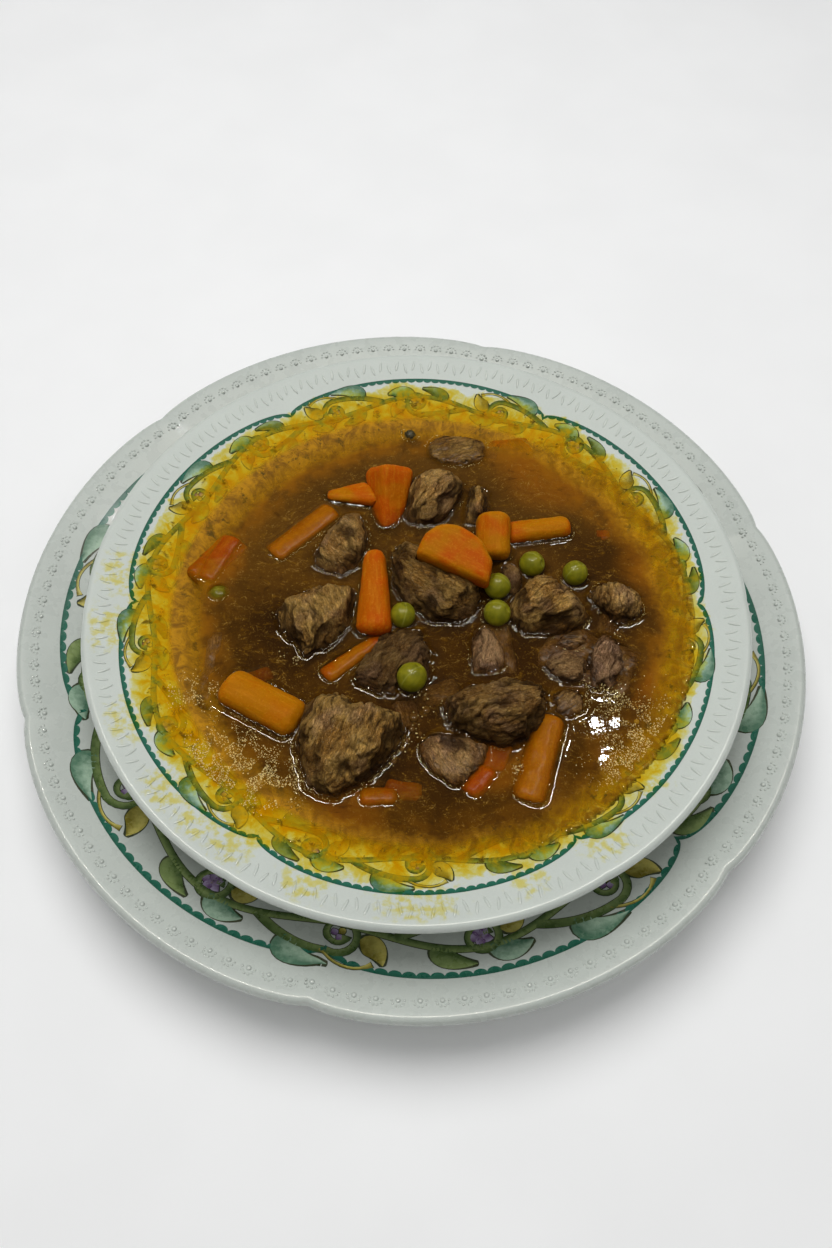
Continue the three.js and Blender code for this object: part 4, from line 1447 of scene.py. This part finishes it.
def froth_material():
    """Fat and air: clear ones take the colour of what they lie on, and the pale cream ones are painted
    glints.
    """
    nodes, finish = new_material("froth")
    radius = nodes.over_plate()[2]
    out = nodes.span(radius, 66, 84)
    # pale cream domes are painted glints
    color = nodes.paint((96, 64, 20), (out, (168, 122, 26)), (nodes.named("painted_glint"), (246, 222, 150)))
    rough = nodes.span(nodes.noise(nodes.place(), 0.8, 2), 0.3, 0.7, 0.04, 0.1)
    return finish(Base_Color=color, Roughness=rough, Alpha=0.85, IOR=1.45)


def floor_material():
    nodes, finish = new_material("pale floor")
    tone = nodes.span(nodes.noise(nodes.place(), 0.02, 2), 0.3, 0.7, 0.93, 0.95)
    return finish(Base_Color=nodes.grey(tone), Roughness=0.7)


# ---------------------------------------------------------------- stage

AIM = Vector((0, 0, 30))  # what the lamps point at
STRIP_HEIGHT = 900  # the strips and spots hang this high and show in the gravy's gleams
STRIP_TURNS = range(-48, 49, 32)  # their bearings round the dish
SPOTS = [(224, 361, 9), (205, 368, 7), (243, 363, 5), (229, 324, 8)]  # plan place and width


def lamp(name, place, size, radiance, glossy=True, diffuse=True, along=None):
    """A lamp of a radiance that points at the dish: round, or a strip as long as along, lying that way."""
    data = bpy.data.lights.new(name, "AREA")
    data.shape = "RECTANGLE" if along else "DISK"
    data.size = (along.length if along else size) * MM
    data.size_y = size * MM
    area = along.length * size * MM**2 if along else math.pi * (size * MM / 2) ** 2
    data.energy = radiance * math.pi * area
    light = bpy.data.objects.new(name, data)
    bpy.context.scene.collection.objects.link(light)
    back = (Vector(place) - AIM).normalized()
    axes = back.to_track_quat("Z", "Y").to_matrix()
    if along:
        side = along.cross(back).normalized()
        axes = Matrix((side.cross(back), -side, back)).transposed()
    light.matrix_world = Matrix.Translation(Vector(place) * MM) @ axes.to_4x4()
    light.visible_glossy = glossy
    light.visible_diffuse = diffuse
    light.visible_camera = False
    return light


def gleam_place(bearing, height):
    """Where overhead the gravy's climb on the side of that bearing mirrors the camera's line."""
    here = Vector((0, 0, LEVEL))
    to_camera = (CAMERA_PLACE - here).normalized()
    turn = math.radians(bearing)
    normal = Vector((GLEAM_SLOPE * math.sin(turn), -GLEAM_SLOPE * math.cos(turn), 1)).normalized()
    ray = 2 * normal.dot(to_camera) * normal - to_camera
    return here + ray * (height - LEVEL) / ray.z


def make_stage():
    floor = primitive(bpy.ops.mesh.primitive_plane_add, "floor", size=4, location=(0, 0, 0))
    floor.data.materials.append(floor_material())
    world = bpy.data.worlds.new("studio")
    bpy.context.scene.world = world
    world.use_nodes = True
    sky = world.node_tree.nodes["Background"]
    sky.inputs["Color"].default_value = (0.97, 1.0, 1.0, 1)
    sky.inputs["Strength"].default_value = 0.1
    for name, place, size, radiance in (
        ("key", (-90, 360, 1110), 950, 4.4),
        ("fill", (100, -500, 1000), 900, 1.0),
        ("fill_left", (-900, 0, 700), 900, 0.65),
        ("fill_right", (900, 0, 700), 900, 0.6),
    ):
        lamp(name, place, size, radiance, glossy=False)
    for i, bearing in enumerate(STRIP_TURNS):
        half = STRIP_TURNS.step / 2
        start = gleam_place(bearing - half, STRIP_HEIGHT)
        end = gleam_place(bearing + half, STRIP_HEIGHT)
        strip = lamp(f"strip_{i}", (start + end) / 2, 8, 200, diffuse=False, along=end - start)
        strip.data.color = (1, 0.95, 0.84)
    for i, (x, y, size) in enumerate(SPOTS):
        lamp(f"spot_{i}", (x, y, STRIP_HEIGHT), size, 260, diffuse=False)


# ---------------------------------------------------------------- the dish

make_camera()

# The underplate's china is the same china painted 10% darker, as painted shade.
china = china_material("china", 0.9, stained=False)
stained_china = china_material("soup plate china", 1.0, stained=True)
keep(turned_plate(UNDERPLATE, "underplate_china"), "china", china, "underplate")
keep(turned_plate(SOUP_PLATE, "soup_plate_china"), "china", stained_china, "soup_plate")
keep(relief_beads(), "china", china)
keep(relief_flutes(), "china", stained_china)

for dish, stained, mid, waves, sway, size, line in (
    (UNDERPLATE, False, 109.6, 8, 3.6, 1.12, (121.6, 0.9, 1.15, 4.2)),
    (SOUP_PLATE, True, 89.6, 9, 2.4, 0.76, (98.9, 0.8, 0.8, 3.0)),
):
    inks = {ink: Ink() for ink in INKS}
    vine(dish, mid, waves, sway, size, inks)
    beaded_line(dish, *line, inks["rim_green"])
    for ink, strokes in inks.items():
        keep(strokes.piece(dish.node + "_" + ink), ink, ink_material(ink, stained))

# For each chunk: bearing of the fibres, how torn, how light, how lilac
BEEF = [
    (70, 1.0, 0.88, 0.0), (20, 1.25, 0.66, 0.1), (150, 0.9, 0.66, 0.0), (60, 0.8, 1.0, 0.1),
    (110, 0.9, 0.9, 0.0), (130, 0.8, 0.92, 0.1), (35, 0.9, 1.0, 0.0), (80, 1.0, 0.86, 0.1),
    (95, 0.8, 0.85, 0.3), (85, 0.8, 0.9, 0.7), (10, 1.3, 0.7, 0.5), (75, 1.6, 0.92, 0.8),
    (50, 1.6, 0.4, 0.25), (120, 0.9, 0.92, 0.4), (80, 0.9, 1.0, 0.0), (15, 1.2, 0.7, 0.0),
    (40, 1.5, 0.75, 0.3), (0, 1.5, 0.75, 0.3),
]
# For each carrot: how amber, how far the edges are rounded
CARROTS = [
    (-0.5, 120), (0.1, 42), (0.0, 60), (0.2, 55), (0.1, 42), (-0.7, 70), (0.7, 40), (0.2, 40), (0.8, 75),
    (0.1, 42), (0.9, 55), (0.1, 42), (0.4, 40),
]
flesh = beef_material()
root_flesh = carrot_material()
kinds = {  # how each kind of food is made, its settings and its material
    "beef": (beef, BEEF, flesh),
    "carrot": (carrot, CARROTS, root_flesh),
    "pea": (pea, [()] * 7, pea_material()),
    "peppercorn": (peppercorn, [()], pepper_material()),
}
food = []
for node in NODES:
    kind, _, number = node.partition("_")
    if kind in kinds:
        make, settings, material = kinds[kind]
        food.append(make(node, *settings[int(number or 1) - 1]))
        keep(food[-1], "pepper" if kind == "peppercorn" else kind, material, node)

sunk_pieces = []
for kind, places, material, uneven in (
    ("carrot", SUNK_CARROTS, root_flesh, 0.5),
    ("beef", SUNK_BEEF, flesh, 1.1),
):
    for i, sizes in enumerate(places):
        piece = sunk(f"sunk_{kind}_{i + 1}", *sizes, uneven)
        keep(piece, kind, material)
        sunk_pieces.append(piece)

standing = Shapes(food)
pool = gravy(standing, Shapes(food + sunk_pieces))
keep(pool, "gravy", gravy_material(), "gravy")
foam = froth_material()
for piece in bubbles(standing, Shapes([pool])):
    keep(piece, "froth", foam)

make_stage()
